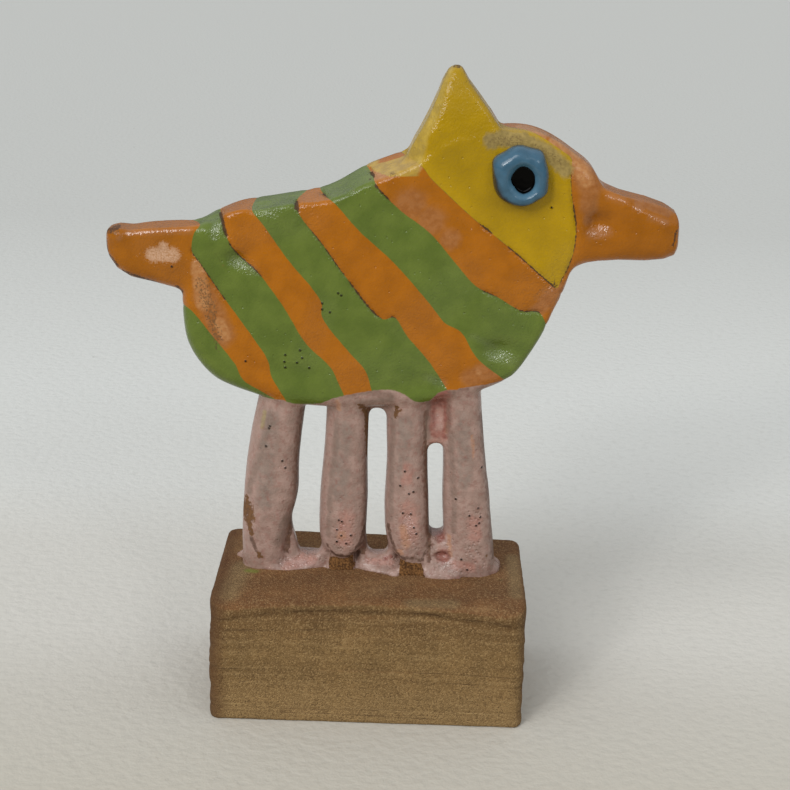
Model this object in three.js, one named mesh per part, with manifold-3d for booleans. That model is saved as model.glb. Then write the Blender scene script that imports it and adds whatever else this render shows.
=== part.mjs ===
// A small glazed clay dog on an unglazed clay plinth, in millimetres with +Z up.
// The origin is the centre of the plinth's underside. The snout points along +X.
// The dog is one flat slab figure on four legs that stand in one row.
import * as THREE from 'three';
import { mergeVertices } from 'three/addons/utils/BufferGeometryUtils.js';
import Module from 'manifold-3d';

const wasm = await Module();
wasm.setup();

// Plinth, a block cut by eye from a slab of grogged clay, so its back runs out of square.
// The wire that cut its front bowed inward, so the front's upper middle is scooped back.
const plinthHeight = 29;
const plinthCorners = [[36.6, 23.2], [-36.8, 25.6], [-36.9, -20.8], [36.6, -20.9]];
const plinthCornerRadius = 2.6;
const plinthShoulderRadius = 7;
const plinthCornerSteps = 5;
const plinthEdgeRound = 0.9;
const plinthWaist = 0.12;
const plinthScoop = 4;
const plinthScoopPower = 1.8;
const plinthFrontSteps = 14;

// Plinth sections from the underside up, as [height, how far each side draws in].
const plinthLevels = [
  [0, 0.5],
  [0.5, 0.1],
  [1.2, 0],
  [0.35 * plinthHeight, plinthWaist],
  [0.6 * plinthHeight, plinthWaist],
  [0.8 * plinthHeight, plinthWaist],
  [plinthHeight - plinthEdgeRound, 0],
  [plinthHeight - 0.35 * plinthEdgeRound, 0.3 * plinthEdgeRound],
  [plinthHeight, plinthEdgeRound],
];

// Clearance between pieces that touch.
const seatGap = 0.3;

// Slab figure, with heights measured from the top of the plinth.
// Its front face is at slabFrontY and its back face at slabBackY.
const slabFrontY = -0.5;
const slabBackY = 12.5;
const faceCrown = 0.5;

// Rounding of the slab's edges: crisp along the back, soft where the outline faces the rump and belly.
const crispRound = 0.9;
const softRound = 3.9;
const softFacing = { x: -0.75, z: -0.66 };
const softSpread = 0.6;
const chestRound = 1;
const neckSlope = 2.2;
const neckX = 1;
const neckReach = 8;
const edgeTurns = [0, 0.33, 0.66, 1];

// Rings inside the outline on each face, as [share of the way out, share of the crown].
const crownRings = [
  [0.3, 1],
  [0.68, 0.72],
];

// Trunk and head outline, clockwise seen from the front, as [x, z].
const trunkOutline = [
  [-40.4, 83],
  [-34, 86.6],
  [-22, 89.1],
  [-12, 91.2],
  [-3, 96.3],
  [5, 99.9],
  [14, 104],
  [26.5, 106.9],
  [34.6, 106.4],
  [42.2, 102.3],
  [47.4, 97.2],
  [46.6, 84.6],
  [43.4, 76.2],
  [40.5, 68.2],
  [37, 59.2],
  [31.9, 51],
  [25.6, 46.9],
  [13, 43],
  [-2, 41.4],
  [-18, 41.6],
  [-28.8, 44],
  [-37.6, 48.2],
  [-42.9, 55.8],
  [-44, 65.6],
  [-43.3, 76.1],
];
const trunkSteps = 84;

// Lofted limbs: each row is a section as [place along the limb, low side, high side, half depth].
// The limb's axis is X for tail and snout, and Z for the ear.
const tailSections = [
  [-38, 66.8, 83.6, 5],
  [-45, 68, 83.1, 5],
  [-51, 69.8, 82.5, 4.8],
  [-56, 70.8, 81.9, 4.5],
  [-59.2, 72.6, 82.1, 4],
  [-61, 75, 81.8, 3],
  [-61.8, 76.8, 80.8, 1.6],
];
const tailMidY = 4.6;
const snoutSections = [
  [40, 76.6, 97, 5.1],
  [45.5, 77, 97.6, 5.5],
  [49.5, 77.8, 94.6, 5.6],
  [54, 78.1, 92.9, 5.4],
  [60, 78, 91.4, 5.2],
  [64.2, 78.5, 90.1, 4.6],
  [66.6, 79.8, 88.4, 3.4],
  [67.6, 81.8, 86.2, 1.6],
];
const snoutMidY = 5;
const earSections = [
  [92, 2, 35, 5.2],
  [98.5, 5.2, 32.4, 6.7],
  [102.6, 7, 29.6, 6.8],
  [106.2, 8.9, 26.8, 6.4],
  [110, 10.9, 24.1, 5.8],
  [113.6, 12.6, 21.4, 5],
  [116.8, 13.8, 19, 3.9],
  [119, 14.9, 17.8, 2.6],
  [120, 15.8, 17.1, 1.3],
];
const earMidY = 6.4;
const limbSides = 20;
const limbSquareness = 0.62;

// Legs from left to right. Each has its middle x and width at the hip, knee, shin and foot.
// The bevel is how far the front left edge leans back.
const legs = [
  { midX: [-20.8, -23.3, -25.8, -26], width: [10.6, 11.2, 9.8, 9.6], bevel: 3.4 },
  { midX: [-6.3, -6.4, -7, -7], width: [9.4, 10.2, 10.6, 9], bevel: 2.2 },
  { midX: [7.4, 7.7, 8.2, 9.6], width: [9.0, 9.2, 10, 8.6], bevel: 1.4 },
  { midX: [20.2, 21.7, 23, 23.8], width: [9.2, 10, 11, 11.6], bevel: 1.8 },
];
const legHeights = [47, 27, 12, 0];
const legMidY = 6;
const legHalfDepth = 5.5;
const legSquareness = 0.72;
const legRings = 9;

// Glaze curtains between neighbouring legs. Each hangs from the belly over a round arch,
// and the last one also closes below a slot. Ends are [middle x, half width, height].
const curtains = [
  { left: -21, right: -9, arch: [-13.8, 2.9, 42.4], low: 37 },
  { left: -4.5, right: 6, arch: [0.5, 2.5, 40.2], low: 30 },
  { left: 10, right: 20, arch: [14.7, 2.3, 31.6], low: 1, foot: [15, 2.4, 7.9] },
];
const curtainTop = 44.6;
const curtainThickness = 5;
const curtainEdge = 1;

// Pool of run glaze around the feet.
const poolLeft = -32;
const poolRight = 30.4;
const poolHalfDepth = 6.9;
const poolHeight = 1.5;
const poolEndShare = 0.12;
const poolBluntness = 0.4;
const poolFlatness = 0.8;
const poolWander = 0.5;
const poolWanderLength = 3.1;
const poolSteps = 18;
const poolSides = 16;

// Eyes: a ring bead with a blind pit, one on each side of the head.
const eyeX = 31.3;
const eyeZ = 96.9;
const eyeRadius = 6.4;
const eyeHeight = 4;
const eyeWaist = 1.6;
const eyeFootRound = 1.1;
const eyePitRadius = 2.8;
const eyePitTaper = 0.3;
const eyePitFloor = 1;
const eyeTallness = 1.05;
const eyeLump = 0.028;
const eyeLumpCount = 5;
const eyeSides = 30;
const eyeArcSteps = 8;

// A closed body from rings of equal count, each end closed by a fan to its middle.
function loft(rings) {
  const sides = rings[0].length;
  const positions = [];
  for (const ring of rings) {
    for (const point of ring) positions.push(point.x, point.y, point.z);
  }
  const middles = [rings[0], rings[rings.length - 1]].map((ring) => {
    const middle = new THREE.Vector3();
    for (const point of ring) middle.addScaledVector(point, 1 / sides);
    return middle;
  });
  for (const middle of middles) positions.push(middle.x, middle.y, middle.z);
  const index = [];
  for (let r = 0; r + 1 < rings.length; r += 1) {
    for (let s = 0; s < sides; s += 1) {
      const a = r * sides + s;
      const b = r * sides + ((s + 1) % sides);
      index.push(a, b, b + sides, a, b + sides, a + sides);
    }
  }
  const firstMiddle = rings.length * sides;
  const lastRing = (rings.length - 1) * sides;
  for (let s = 0; s < sides; s += 1) {
    const next = (s + 1) % sides;
    index.push(firstMiddle, next, s);
    index.push(firstMiddle + 1, lastRing + s, lastRing + next);
  }
  const geometry = new THREE.BufferGeometry();
  geometry.setAttribute('position', new THREE.Float32BufferAttribute(positions, 3));
  geometry.setIndex(index);
  return faceOut(geometry);
}

// Signed volume of a closed indexed geometry.
function volumeOf(geometry) {
  const position = geometry.getAttribute('position');
  const index = geometry.getIndex();
  const corner = [new THREE.Vector3(), new THREE.Vector3(), new THREE.Vector3()];
  let volume = 0;
  for (let i = 0; i < index.count; i += 3) {
    for (let k = 0; k < 3; k += 1) corner[k].fromBufferAttribute(position, index.getX(i + k));
    volume += corner[0].dot(corner[1].cross(corner[2])) / 6;
  }
  return volume;
}

// Turns every triangle over where the body is inside out.
function faceOut(geometry) {
  if (volumeOf(geometry) > 0) return geometry;
  const index = geometry.getIndex();
  for (let i = 0; i < index.count; i += 3) {
    const second = index.getX(i + 1);
    index.setX(i + 1, index.getX(i + 2));
    index.setX(i + 2, second);
  }
  return geometry;
}

// One closed geometry as a solid that can be joined.
function toSolid(geometry) {
  const bare = geometry.clone();
  bare.deleteAttribute('normal');
  bare.deleteAttribute('uv');
  const merged = faceOut(mergeVertices(bare));
  const vertProperties = new Float32Array(merged.getAttribute('position').array);
  const triVerts = new Uint32Array(merged.getIndex().array);
  return new wasm.Manifold(new wasm.Mesh({ numProp: 3, vertProperties, triVerts }));
}

// A joined solid as a geometry with normals.
function toGeometry(solid) {
  const mesh = solid.getMesh();
  const geometry = new THREE.BufferGeometry();
  geometry.setAttribute('position', new THREE.BufferAttribute(new Float32Array(mesh.vertProperties), 3));
  geometry.setIndex(new THREE.BufferAttribute(new Uint32Array(mesh.triVerts), 1));
  geometry.computeVertexNormals();
  return geometry;
}

// How far the slab's edge is rounded where the outline faces along normal.
function edgeRound(normal, x, isFront) {
  const under = Math.max(0, softFacing.x * normal.x + softFacing.z * normal.z);
  const chest = Math.max(0, normal.x);
  const upward = Math.max(0, normal.z);
  const neck = isFront ? Math.exp(-(((x - neckX) / neckReach) ** 2)) * upward : 0;
  const soft = (softRound - crispRound) * under ** softSpread;
  return crispRound + soft + chestRound * chest + neckSlope * neck;
}

// The trunk and head: the outline carried through the slab's thickness.
function trunk() {
  const corners = trunkOutline.map(([x, z]) => new THREE.Vector3(x, 0, z));
  const curve = new THREE.CatmullRomCurve3(corners, true, 'centripetal');
  const samples = [];
  const middle = new THREE.Vector3();
  for (let i = 0; i < trunkSteps; i += 1) {
    const u = i / trunkSteps;
    const point = curve.getPointAt(u);
    const tangent = curve.getTangentAt(u);
    samples.push({ point, normal: new THREE.Vector3(-tangent.z, 0, tangent.x) });
    middle.addScaledVector(point, 1 / trunkSteps);
  }
  const halfSide = (isFront) => {
    const faceY = isFront ? slabFrontY : slabBackY;
    const outward = isFront ? -1 : 1;
    const rings = [];
    for (const [shrink, crown] of crownRings) {
      rings.push(samples.map(({ point }) => {
        const inner = middle.clone().lerp(point, shrink);
        return inner.setY(faceY + outward * faceCrown * crown);
      }));
    }
    for (const turn of edgeTurns) {
      const angle = (turn * Math.PI) / 2;
      rings.push(samples.map(({ point, normal }) => {
        const round = edgeRound(normal, point.x, isFront);
        const inset = round * (1 - Math.sin(angle));
        const drop = round * (1 - Math.cos(angle));
        return point.clone().addScaledVector(normal, -inset).setY(faceY - outward * drop);
      }));
    }
    return rings;
  };
  return loft([...halfSide(true), ...halfSide(false).reverse()]);
}

// A superellipse section point: squareness 1 is round, and smaller is squarer.
function sectionPoint(step, sides, squareness) {
  const angle = (2 * Math.PI * step) / sides;
  const shape = (value) => Math.sign(value) * Math.abs(value) ** squareness;
  return [shape(Math.cos(angle)), shape(Math.sin(angle))];
}

// A limb lofted through sections; place puts [along, across, y] in space.
function limb(sections, midY, place) {
  return loft(sections.map(([along, low, high, halfDepth]) => {
    const ring = [];
    for (let s = 0; s < limbSides; s += 1) {
      const [across, deep] = sectionPoint(s, limbSides, limbSquareness);
      ring.push(place(along, (low + high) / 2 + (across * (high - low)) / 2, midY + deep * halfDepth));
    }
    return ring;
  }));
}
const alongX = (along, across, y) => new THREE.Vector3(along, y, across);
const alongZ = (along, across, y) => new THREE.Vector3(across, y, along);

// One leg, with its front left edge leaning back by the bevel.
function leg({ midX, width, bevel }) {
  const track = new THREE.CatmullRomCurve3(
    legHeights.map((z, i) => new THREE.Vector3(midX[i], width[i] / 2, z)),
  );
  const rings = [];
  for (let r = 0; r < legRings; r += 1) {
    const centre = track.getPoint(r / (legRings - 1));
    const halfWidth = centre.y;
    const ring = [];
    for (let s = 0; s < limbSides; s += 1) {
      const [across, deep] = sectionPoint(s, limbSides, legSquareness);
      const lean = deep < 0 ? bevel * Math.max(0, -across) ** 2 * -deep : 0;
      ring.push(new THREE.Vector3(
        centre.x + across * halfWidth,
        legMidY + deep * legHalfDepth + lean,
        centre.z,
      ));
    }
    rings.push(ring);
  }
  return loft(rings);
}

// A plate between two legs with a round arch, open below unless it has a foot.
function curtain({ left, right, arch, low, foot }) {
  const edge = curtainEdge;
  const [archX, archHalf, archZ] = arch;
  const archMidZ = archZ - archHalf;
  const plate = new THREE.Shape();
  plate.moveTo(right, low);
  plate.lineTo(right, curtainTop);
  plate.lineTo(left, curtainTop);
  plate.lineTo(left, low);
  if (foot) {
    const [footX, footHalf, footZ] = foot;
    const slot = new THREE.Path();
    slot.absarc(archX, archMidZ, archHalf + edge, 0, Math.PI, false);
    slot.absarc(footX, footZ + footHalf, footHalf + edge, Math.PI, 2 * Math.PI, false);
    slot.closePath();
    plate.holes.push(slot);
  } else {
    plate.lineTo(archX - archHalf - edge, low);
    plate.absarc(archX, archMidZ, archHalf + edge, Math.PI, 0, true);
    plate.lineTo(archX + archHalf + edge, low);
  }
  plate.closePath();
  const geometry = new THREE.ExtrudeGeometry(plate, {
    depth: curtainThickness - 2 * edge,
    bevelThickness: edge,
    bevelSize: edge,
    bevelSegments: 2,
    curveSegments: 8,
  });
  geometry.rotateX(Math.PI / 2);
  geometry.translate(0, legMidY + curtainThickness / 2 - edge, 0);
  return geometry;
}

// The low pool of glaze, flat below, with its front edge wandering a little.
function pool() {
  const rings = [];
  for (let r = 0; r <= poolSteps; r += 1) {
    const angle = Math.PI * (1 - r / poolSteps);
    const x = (poolLeft + poolRight) / 2 + (Math.cos(angle) * (poolRight - poolLeft)) / 2;
    const full = Math.max(poolEndShare, Math.sin(angle)) ** poolBluntness;
    const wander = poolWander * Math.sin(x / poolWanderLength) * full;
    const ring = [];
    for (let s = 0; s <= poolSides; s += 1) {
      const turn = Math.PI * (1 - s / poolSides);
      const y = legMidY + Math.cos(turn) * (poolHalfDepth + wander) * full;
      ring.push(new THREE.Vector3(x, y, poolHeight * full * Math.sin(turn) ** poolFlatness));
    }
    rings.push(ring);
  }
  return loft(rings);
}

// The whole dog as one fused body.
function dogGeometry() {
  const bodies = [
    limb(tailSections, tailMidY, alongX),
    limb(snoutSections, snoutMidY, alongX),
    limb(earSections, earMidY, alongZ),
    ...legs.map(leg),
    ...curtains.map(curtain),
    pool(),
  ];
  let dog = toSolid(trunk());
  for (const body of bodies) dog = dog.add(toSolid(body));
  return toGeometry(dog);
}

// One eye bead, its flat back on the plane of the face and its pit facing away from it.
function eyeGeometry() {
  const ringMiddle = (eyeRadius + eyePitRadius) / 2;
  const ringHalf = (eyeRadius - eyePitRadius) / 2;
  const profile = [[0, 0], [eyeRadius - eyeFootRound, 0]];
  for (let i = 0; i <= eyeArcSteps; i += 1) {
    const angle = (Math.PI * i) / eyeArcSteps;
    const height = eyeWaist + (eyeHeight - eyeWaist) * Math.sin(angle);
    profile.push([ringMiddle + ringHalf * Math.cos(angle), height]);
  }
  profile.push([eyePitRadius - eyePitTaper, eyePitFloor], [0, eyePitFloor]);
  const geometry = new THREE.LatheGeometry(profile.map(([r, y]) => new THREE.Vector2(r, y)), eyeSides);
  geometry.deleteAttribute('normal');
  geometry.deleteAttribute('uv');
  const position = geometry.getAttribute('position');
  for (let i = 0; i < position.count; i += 1) {
    const x = position.getX(i);
    const z = position.getZ(i);
    const lump = 1 + eyeLump * Math.cos(eyeLumpCount * Math.atan2(z, x));
    position.setX(i, x * lump);
    position.setZ(i, z * lump * eyeTallness);
  }
  const merged = faceOut(mergeVertices(geometry, 1e-4));
  merged.computeVertexNormals();
  return merged;
}

// How far the middle of the front is scooped back at a height, and how round the front corners are.
function scoopAt(x, z) {
  const across = Math.min(1, Math.abs(x) / plinthCorners[0][0]);
  return plinthScoop * (1 - across ** 2) * (z / plinthHeight) ** plinthScoopPower;
}
function shoulderAt(z) {
  return plinthCornerRadius + (plinthShoulderRadius - plinthCornerRadius) * (z / plinthHeight) ** 3;
}

// The plinth: four-cornered sections from the flat underside to the top.
function plinthGeometry() {
  return loft(plinthLevels.map(([z, inset]) => {
    const ring = [];
    plinthCorners.forEach(([cornerX, cornerY], quarter) => {
      const full = cornerY < 0 ? shoulderAt(z) : plinthCornerRadius;
      const middleX = cornerX - Math.sign(cornerX) * full;
      const middleY = cornerY - Math.sign(cornerY) * full;
      for (let s = 0; s <= plinthCornerSteps; s += 1) {
        const angle = ((quarter + s / plinthCornerSteps) * Math.PI) / 2;
        ring.push(new THREE.Vector3(
          middleX + (full - inset) * Math.cos(angle),
          middleY + (full - inset) * Math.sin(angle),
          z,
        ));
      }
      if (quarter === 2) {
        const start = ring[ring.length - 1];
        const end = plinthCorners[3][0] - shoulderAt(z);
        for (let s = 1; s < plinthFrontSteps; s += 1) {
          ring.push(start.clone().setX(start.x + ((end - start.x) * s) / plinthFrontSteps));
        }
      }
    });
    for (const point of ring) {
      if (point.y < 0) point.y += scoopAt(point.x, z);
    }
    return ring;
  }));
}

function piece(name, geometry, color, roughness) {
  const material = new THREE.MeshStandardMaterial({ color, roughness, metalness: 0 });
  const mesh = new THREE.Mesh(geometry, material);
  mesh.name = name;
  return mesh;
}

const group = new THREE.Group();
group.add(piece('plinth', plinthGeometry(), 0x8f7350, 0.95));

const figure = new THREE.Group();
figure.position.z = plinthHeight;
const dog = piece('dog', dogGeometry(), 0xb4702a, 0.3);
dog.position.z = seatGap;
const eyeRight = piece('eye_right', eyeGeometry(), 0x5b8aa8, 0.2);
eyeRight.position.set(eyeX, slabFrontY - faceCrown - seatGap, eyeZ);
eyeRight.rotation.z = Math.PI;
const eyeLeft = piece('eye_left', eyeGeometry(), 0x5b8aa8, 0.2);
eyeLeft.position.set(eyeX, slabBackY + faceCrown + seatGap, eyeZ);
figure.add(dog, eyeRight, eyeLeft);
group.add(figure);

export default group;
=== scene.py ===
import functools
import math

import bpy
import numpy as np
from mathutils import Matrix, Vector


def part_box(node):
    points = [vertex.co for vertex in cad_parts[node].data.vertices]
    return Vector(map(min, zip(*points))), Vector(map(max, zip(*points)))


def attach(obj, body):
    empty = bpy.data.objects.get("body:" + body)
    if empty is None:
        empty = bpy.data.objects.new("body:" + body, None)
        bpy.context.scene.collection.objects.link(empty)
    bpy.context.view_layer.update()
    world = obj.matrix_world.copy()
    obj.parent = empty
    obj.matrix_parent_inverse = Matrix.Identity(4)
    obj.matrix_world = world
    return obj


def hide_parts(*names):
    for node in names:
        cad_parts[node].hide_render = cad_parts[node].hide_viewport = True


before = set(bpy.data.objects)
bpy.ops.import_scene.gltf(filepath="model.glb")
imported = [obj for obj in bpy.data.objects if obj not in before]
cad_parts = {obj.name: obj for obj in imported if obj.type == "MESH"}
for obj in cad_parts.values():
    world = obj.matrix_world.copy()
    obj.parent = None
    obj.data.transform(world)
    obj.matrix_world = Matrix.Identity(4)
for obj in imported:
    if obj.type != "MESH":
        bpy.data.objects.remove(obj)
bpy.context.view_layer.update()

import openvdb
from mathutils import Matrix, Vector

# Sizes are in millimetres until a mesh is made. Heights of the figure start at the plinth's top.
mm = 0.001
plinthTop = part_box("plinth")[1][2] / mm


# Colour, noise and shape helpers

def linear(hexColour):
    # sRGB hex to the linear values that shaders take
    out = []
    for k in (1, 3, 5):
        c = int(hexColour[k:k + 2], 16) / 255
        out.append(c / 12.92 if c <= 0.04045 else ((c + 0.055) / 1.055) ** 2.4)
    return (*out, 1.0)


def plug(tree, node, inputs):
    # inputs by name or in order: a value is set, and another node's output is linked
    for at, value in inputs.items() if isinstance(inputs, dict) else enumerate(inputs):
        if isinstance(value, bpy.types.NodeSocket):
            tree.links.new(value, node.inputs[at])
        else:
            node.inputs[at].default_value = value


def addNode(tree, kind, inputs=(), out=0, **settings):
    node = tree.nodes.new("ShaderNode" + kind)
    for name, value in settings.items():
        setattr(node, name, value)
    plug(tree, node, inputs)
    return node.outputs[out]


def newMaterial(name):
    made = bpy.data.materials.new(name)
    made.use_nodes = True
    add = functools.partial(addNode, made.node_tree)
    return made, add, add("TexCoord", out="Object")


def finishMaterial(made, height, relief, inputs):
    # a bump of the height, relief millimetres high, and the shader's own inputs
    tree = made.node_tree
    bump = addNode(tree, "Bump", {"Height": height, "Distance": relief * mm, "Strength": 1})
    plug(tree, tree.nodes["Principled BSDF"], {**inputs, "Normal": bump})
    return made


def layOver(add, base, *coats):
    # coats laid over a colour in turn, each (cover, colour), with colours as hex or as a node's output
    for cover, tint in coats:
        under, over = (linear(c) if isinstance(c, str) else c for c in (base, tint))
        base = add("Mix", {0: cover, 6: under, 7: over}, 2, data_type="RGBA")
    return base


def patternScale(size):
    # from the pattern's real size in millimetres
    return 1 / (size * mm)


def smoothStep(low, high, value):
    t = np.clip((value - low) / (high - low), 0, 1)
    return t * t * (3 - 2 * t)


def latticeNoise(p, size, seed):
    # soft bumps from -1 to 1, about size millimetres across
    q = p / size + 1000.0
    cell = np.floor(q).astype(np.int64)
    part = q - cell
    part = part * part * (3 - 2 * part)
    total = np.zeros(len(p))
    for corner in range(8):
        step = np.array([corner & 1, (corner >> 1) & 1, (corner >> 2) & 1])
        at = cell + step
        mixed = at[:, 0] * 73856093 ^ at[:, 1] * 19349663 ^ at[:, 2] * 83492791 ^ seed * 2654435761
        mixed = (mixed ^ (mixed >> 13)) * 1274126177
        value = ((mixed ^ (mixed >> 16)) & 0xFFFF) / 32767.5 - 1
        weight = np.where(step == 1, part, 1 - part).prod(axis=1)
        total += weight * value
    return total


def noiseAlong(x, size, seed, at=0.0):
    # the same along x alone
    return latticeNoise(np.column_stack([x, x * 0, x * 0 + at]), size, seed)


def softMin(a, b, reach):
    # joins two bodies with a fillet about reach wide
    h = np.maximum(reach - np.abs(a - b), 0) / reach
    return np.minimum(a, b) - h * h * reach / 4


def softMax(a, b, reach):
    return -softMin(-a, -b, reach)


def roundCorner(a, b, radius):
    # where two faces meet, a round edge: a and b are the distances outside each
    outside = np.hypot(np.maximum(a + radius, 0), np.maximum(b + radius, 0))
    return outside + np.minimum(np.maximum(a + radius, b + radius), 0) - radius


def spline(points, steps, closed):
    # centripetal spline through the points
    p = np.array(points, float)
    if closed:
        p = np.vstack([p[-1], p, p[0], p[1]])
    else:
        p = np.vstack([2 * p[0] - p[1], p, 2 * p[-1] - p[-2]])
    out = []
    for k in range(1, len(p) - 2):
        p0, p1, p2, p3 = p[k - 1:k + 3]
        d0, d1, d2 = (np.sqrt(np.linalg.norm(b - a)) for a, b in ((p0, p1), (p1, p2), (p2, p3)))
        t1 = ((p1 - p0) / d0 - (p2 - p0) / (d0 + d1) + (p2 - p1) / d1) * d1
        t2 = ((p2 - p1) / d1 - (p3 - p1) / (d1 + d2) + (p3 - p2) / d2) * d1
        t = np.linspace(0, 1, steps, endpoint=False)[:, None]
        out.append(p1 + t1 * t + (3 * (p2 - p1) - 2 * t1 - t2) * t ** 2 + (2 * (p1 - p2) + t1 + t2) * t ** 3)
    if not closed:
        out.append(p[-2][None])
    return np.vstack(out)


def nearestOn(points, x, z, closed):
    # distance to a line of points, which side of it, and the normal of the nearest stretch
    ends = np.roll(points, -1, axis=0) if closed else points[1:]
    starts = points if closed else points[:-1]
    best = np.full(x.shape, 1e9)
    side = np.zeros(x.shape)
    normalX = np.zeros(x.shape)
    normalZ = np.zeros(x.shape)
    for (ax, az), (bx, bz) in zip(starts, ends):
        dx, dz = bx - ax, bz - az
        length = math.hypot(dx, dz)
        t = np.clip(((x - ax) * dx + (z - az) * dz) / length ** 2, 0, 1)
        away = np.hypot(x - ax - t * dx, z - az - t * dz)
        near = away < best
        best[near] = away[near]
        side[near] = np.sign((x - ax) * dz - (z - az) * dx)[near]
        normalX[near] = -dz / length
        normalZ[near] = dx / length
    return best, side, normalX, normalZ


# Flat maps over the side view, for everything that depends on x and height alone
mapStep = 0.3
mapX = np.arange(-66, 72, mapStep)
mapZ = np.arange(-6, 128, mapStep)
gridX, gridZ = np.meshgrid(mapX, mapZ)


def readMap(flat, x, z):
    u = np.clip((x - mapX[0]) / mapStep, 0, len(mapX) - 1.001)
    v = np.clip((z - mapZ[0]) / mapStep, 0, len(mapZ) - 1.001)
    i, j = u.astype(int), v.astype(int)
    fu, fv = u - i, v - j
    top = flat[j + 1, i] * (1 - fu) + flat[j + 1, i + 1] * fu
    low = flat[j, i] * (1 - fu) + flat[j, i + 1] * fu
    return low * (1 - fv) + top * fv


def lineMap(points):
    # signed distance to a line that runs on past both its ends, positive on its left
    line = spline(points, 5, False)
    first = line[0] + (line[0] - line[1]) / np.linalg.norm(line[0] - line[1]) * 60
    last = line[-1] + (line[-1] - line[-2]) / np.linalg.norm(line[-1] - line[-2]) * 60
    away, side = nearestOn(np.vstack([first, line, last]), gridX, gridZ, False)[:2]
    return np.where(side > 0, -away, away)


def softSpots(spots, x, z):
    # strongest of several soft patches, from 0 to 1: (x, z, radius), or a path (x, z, x2, z2, ..., radius)
    out = np.zeros(x.shape)
    for *path, radius in spots:
        ends = list(zip(path[::2], path[1::2]))
        for (ax, az), (bx, bz) in zip(ends, ends[1:] or [(path[0] + 0.01, path[1])]):
            dx, dz = bx - ax, bz - az
            t = np.clip(((x - ax) * dx + (z - az) * dz) / (dx ** 2 + dz ** 2), 0, 1)
            away = np.hypot(x - ax - t * dx, z - az - t * dz)
            out = np.maximum(out, 1 - smoothStep(0.3, 1.3, away / radius))
    return out


def slopeOf(field, points):
    nudge = 0.04
    value = field(points)
    return value, np.stack([(field(points + nudge * axis) - value) / nudge for axis in np.eye(3)], axis=1)


def surfaceOf(field, low, high, voxel):
    # even quads over the field's zero level, and then each point is put exactly on it
    axes = [np.arange(low[k], high[k] + voxel, voxel) for k in range(3)]
    shape = [len(a) for a in axes]
    px, py, pz = (a.ravel() for a in np.meshgrid(*axes, indexing="ij"))
    values = field(np.stack([px, py, pz], axis=1)).reshape(shape)
    grid = openvdb.FloatGrid(background=4.0)
    grid.copyFromArray(np.clip(values / voxel, -4, 4).astype(np.float32))
    points, triangles, quads = grid.convertToPolygons(isovalue=0.0, adaptivity=0.0)
    points = points.astype(float) * voxel + np.array(low)
    for again in range(3):
        value, slope = slopeOf(field, points)
        step = value[:, None] * slope / np.maximum((slope ** 2).sum(axis=1), 0.2)[:, None]
        length = np.linalg.norm(step, axis=1)
        points -= step * np.minimum(1, 0.5 * voxel / np.maximum(length, 1e-9))[:, None]
    faces = [tuple(f) for f in quads[:, ::-1].tolist()] + [tuple(f) for f in triangles[:, ::-1].tolist()]
    return points, faces


def creases(field, points, reach):
    # how deep in a fold each point lies, and how far out on an edge, both 0 on flat clay and toward 1
    slope = slopeOf(field, points)[1]
    normal = slope / np.linalg.norm(slope, axis=1)[:, None]
    fold = 1 - field(points + reach * normal) / reach
    edge = 1 + field(points - reach * normal) / reach
    return np.clip(fold, 0, 1), np.clip(edge, 0, 1), normal


def meshPiece(name, points, faces, marks):
    mesh = bpy.data.meshes.new(name)
    mesh.from_pydata((points * mm).tolist(), [], faces)
    mesh.update()
    mesh.polygons.foreach_set("use_smooth", np.ones(len(mesh.polygons), bool))
    for mark, values in marks.items():
        wide = values.ndim == 2
        layer = mesh.attributes.new(mark, "FLOAT_VECTOR" if wide else "FLOAT", "POINT")
        flat = np.ascontiguousarray(values, np.float32).ravel()
        layer.data.foreach_set("vector" if wide else "value", flat)
    piece = bpy.data.objects.new(name, mesh)
    bpy.context.scene.collection.objects.link(piece)
    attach(piece, "root")
    triangles = sum(len(f) - 2 for f in faces)
    print(name + ":", len(points), "points,", triangles, "triangles")
    return piece


# Camera: the photograph's own place and lens, worked out from the plinth's corners
camera = {
    "place": (8.5, -369.2, 198.7), "turn": 0.6, "pitch": 18.65, "roll": 1.49,
    "focalPixels": 1690, "framePixels": 790, "sensor": 36,
}
turn, pitch, roll = (math.radians(camera[k]) for k in ("turn", "pitch", "roll"))
backward = np.array([math.sin(turn) * math.cos(pitch), -math.cos(turn) * math.cos(pitch), math.sin(pitch)])
level = np.cross(-backward, (0, 0, 1))
level /= np.linalg.norm(level)
upright = np.cross(level, -backward)
right = math.cos(roll) * level + math.sin(roll) * upright
up = math.cos(roll) * upright - math.sin(roll) * level
cameraData = bpy.data.cameras.new("camera")
cameraData.sensor_width = camera["sensor"]
cameraData.lens = camera["focalPixels"] / camera["framePixels"] * camera["sensor"]
cameraData.clip_end = 10
cameraObject = bpy.data.objects.new("camera", cameraData)
turned = Matrix((right, up, backward)).transposed().to_4x4()
turned.translation = [v * mm for v in camera["place"]]
cameraObject.matrix_world = turned
bpy.context.scene.collection.objects.link(cameraObject)
bpy.context.scene.camera = cameraObject


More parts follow.
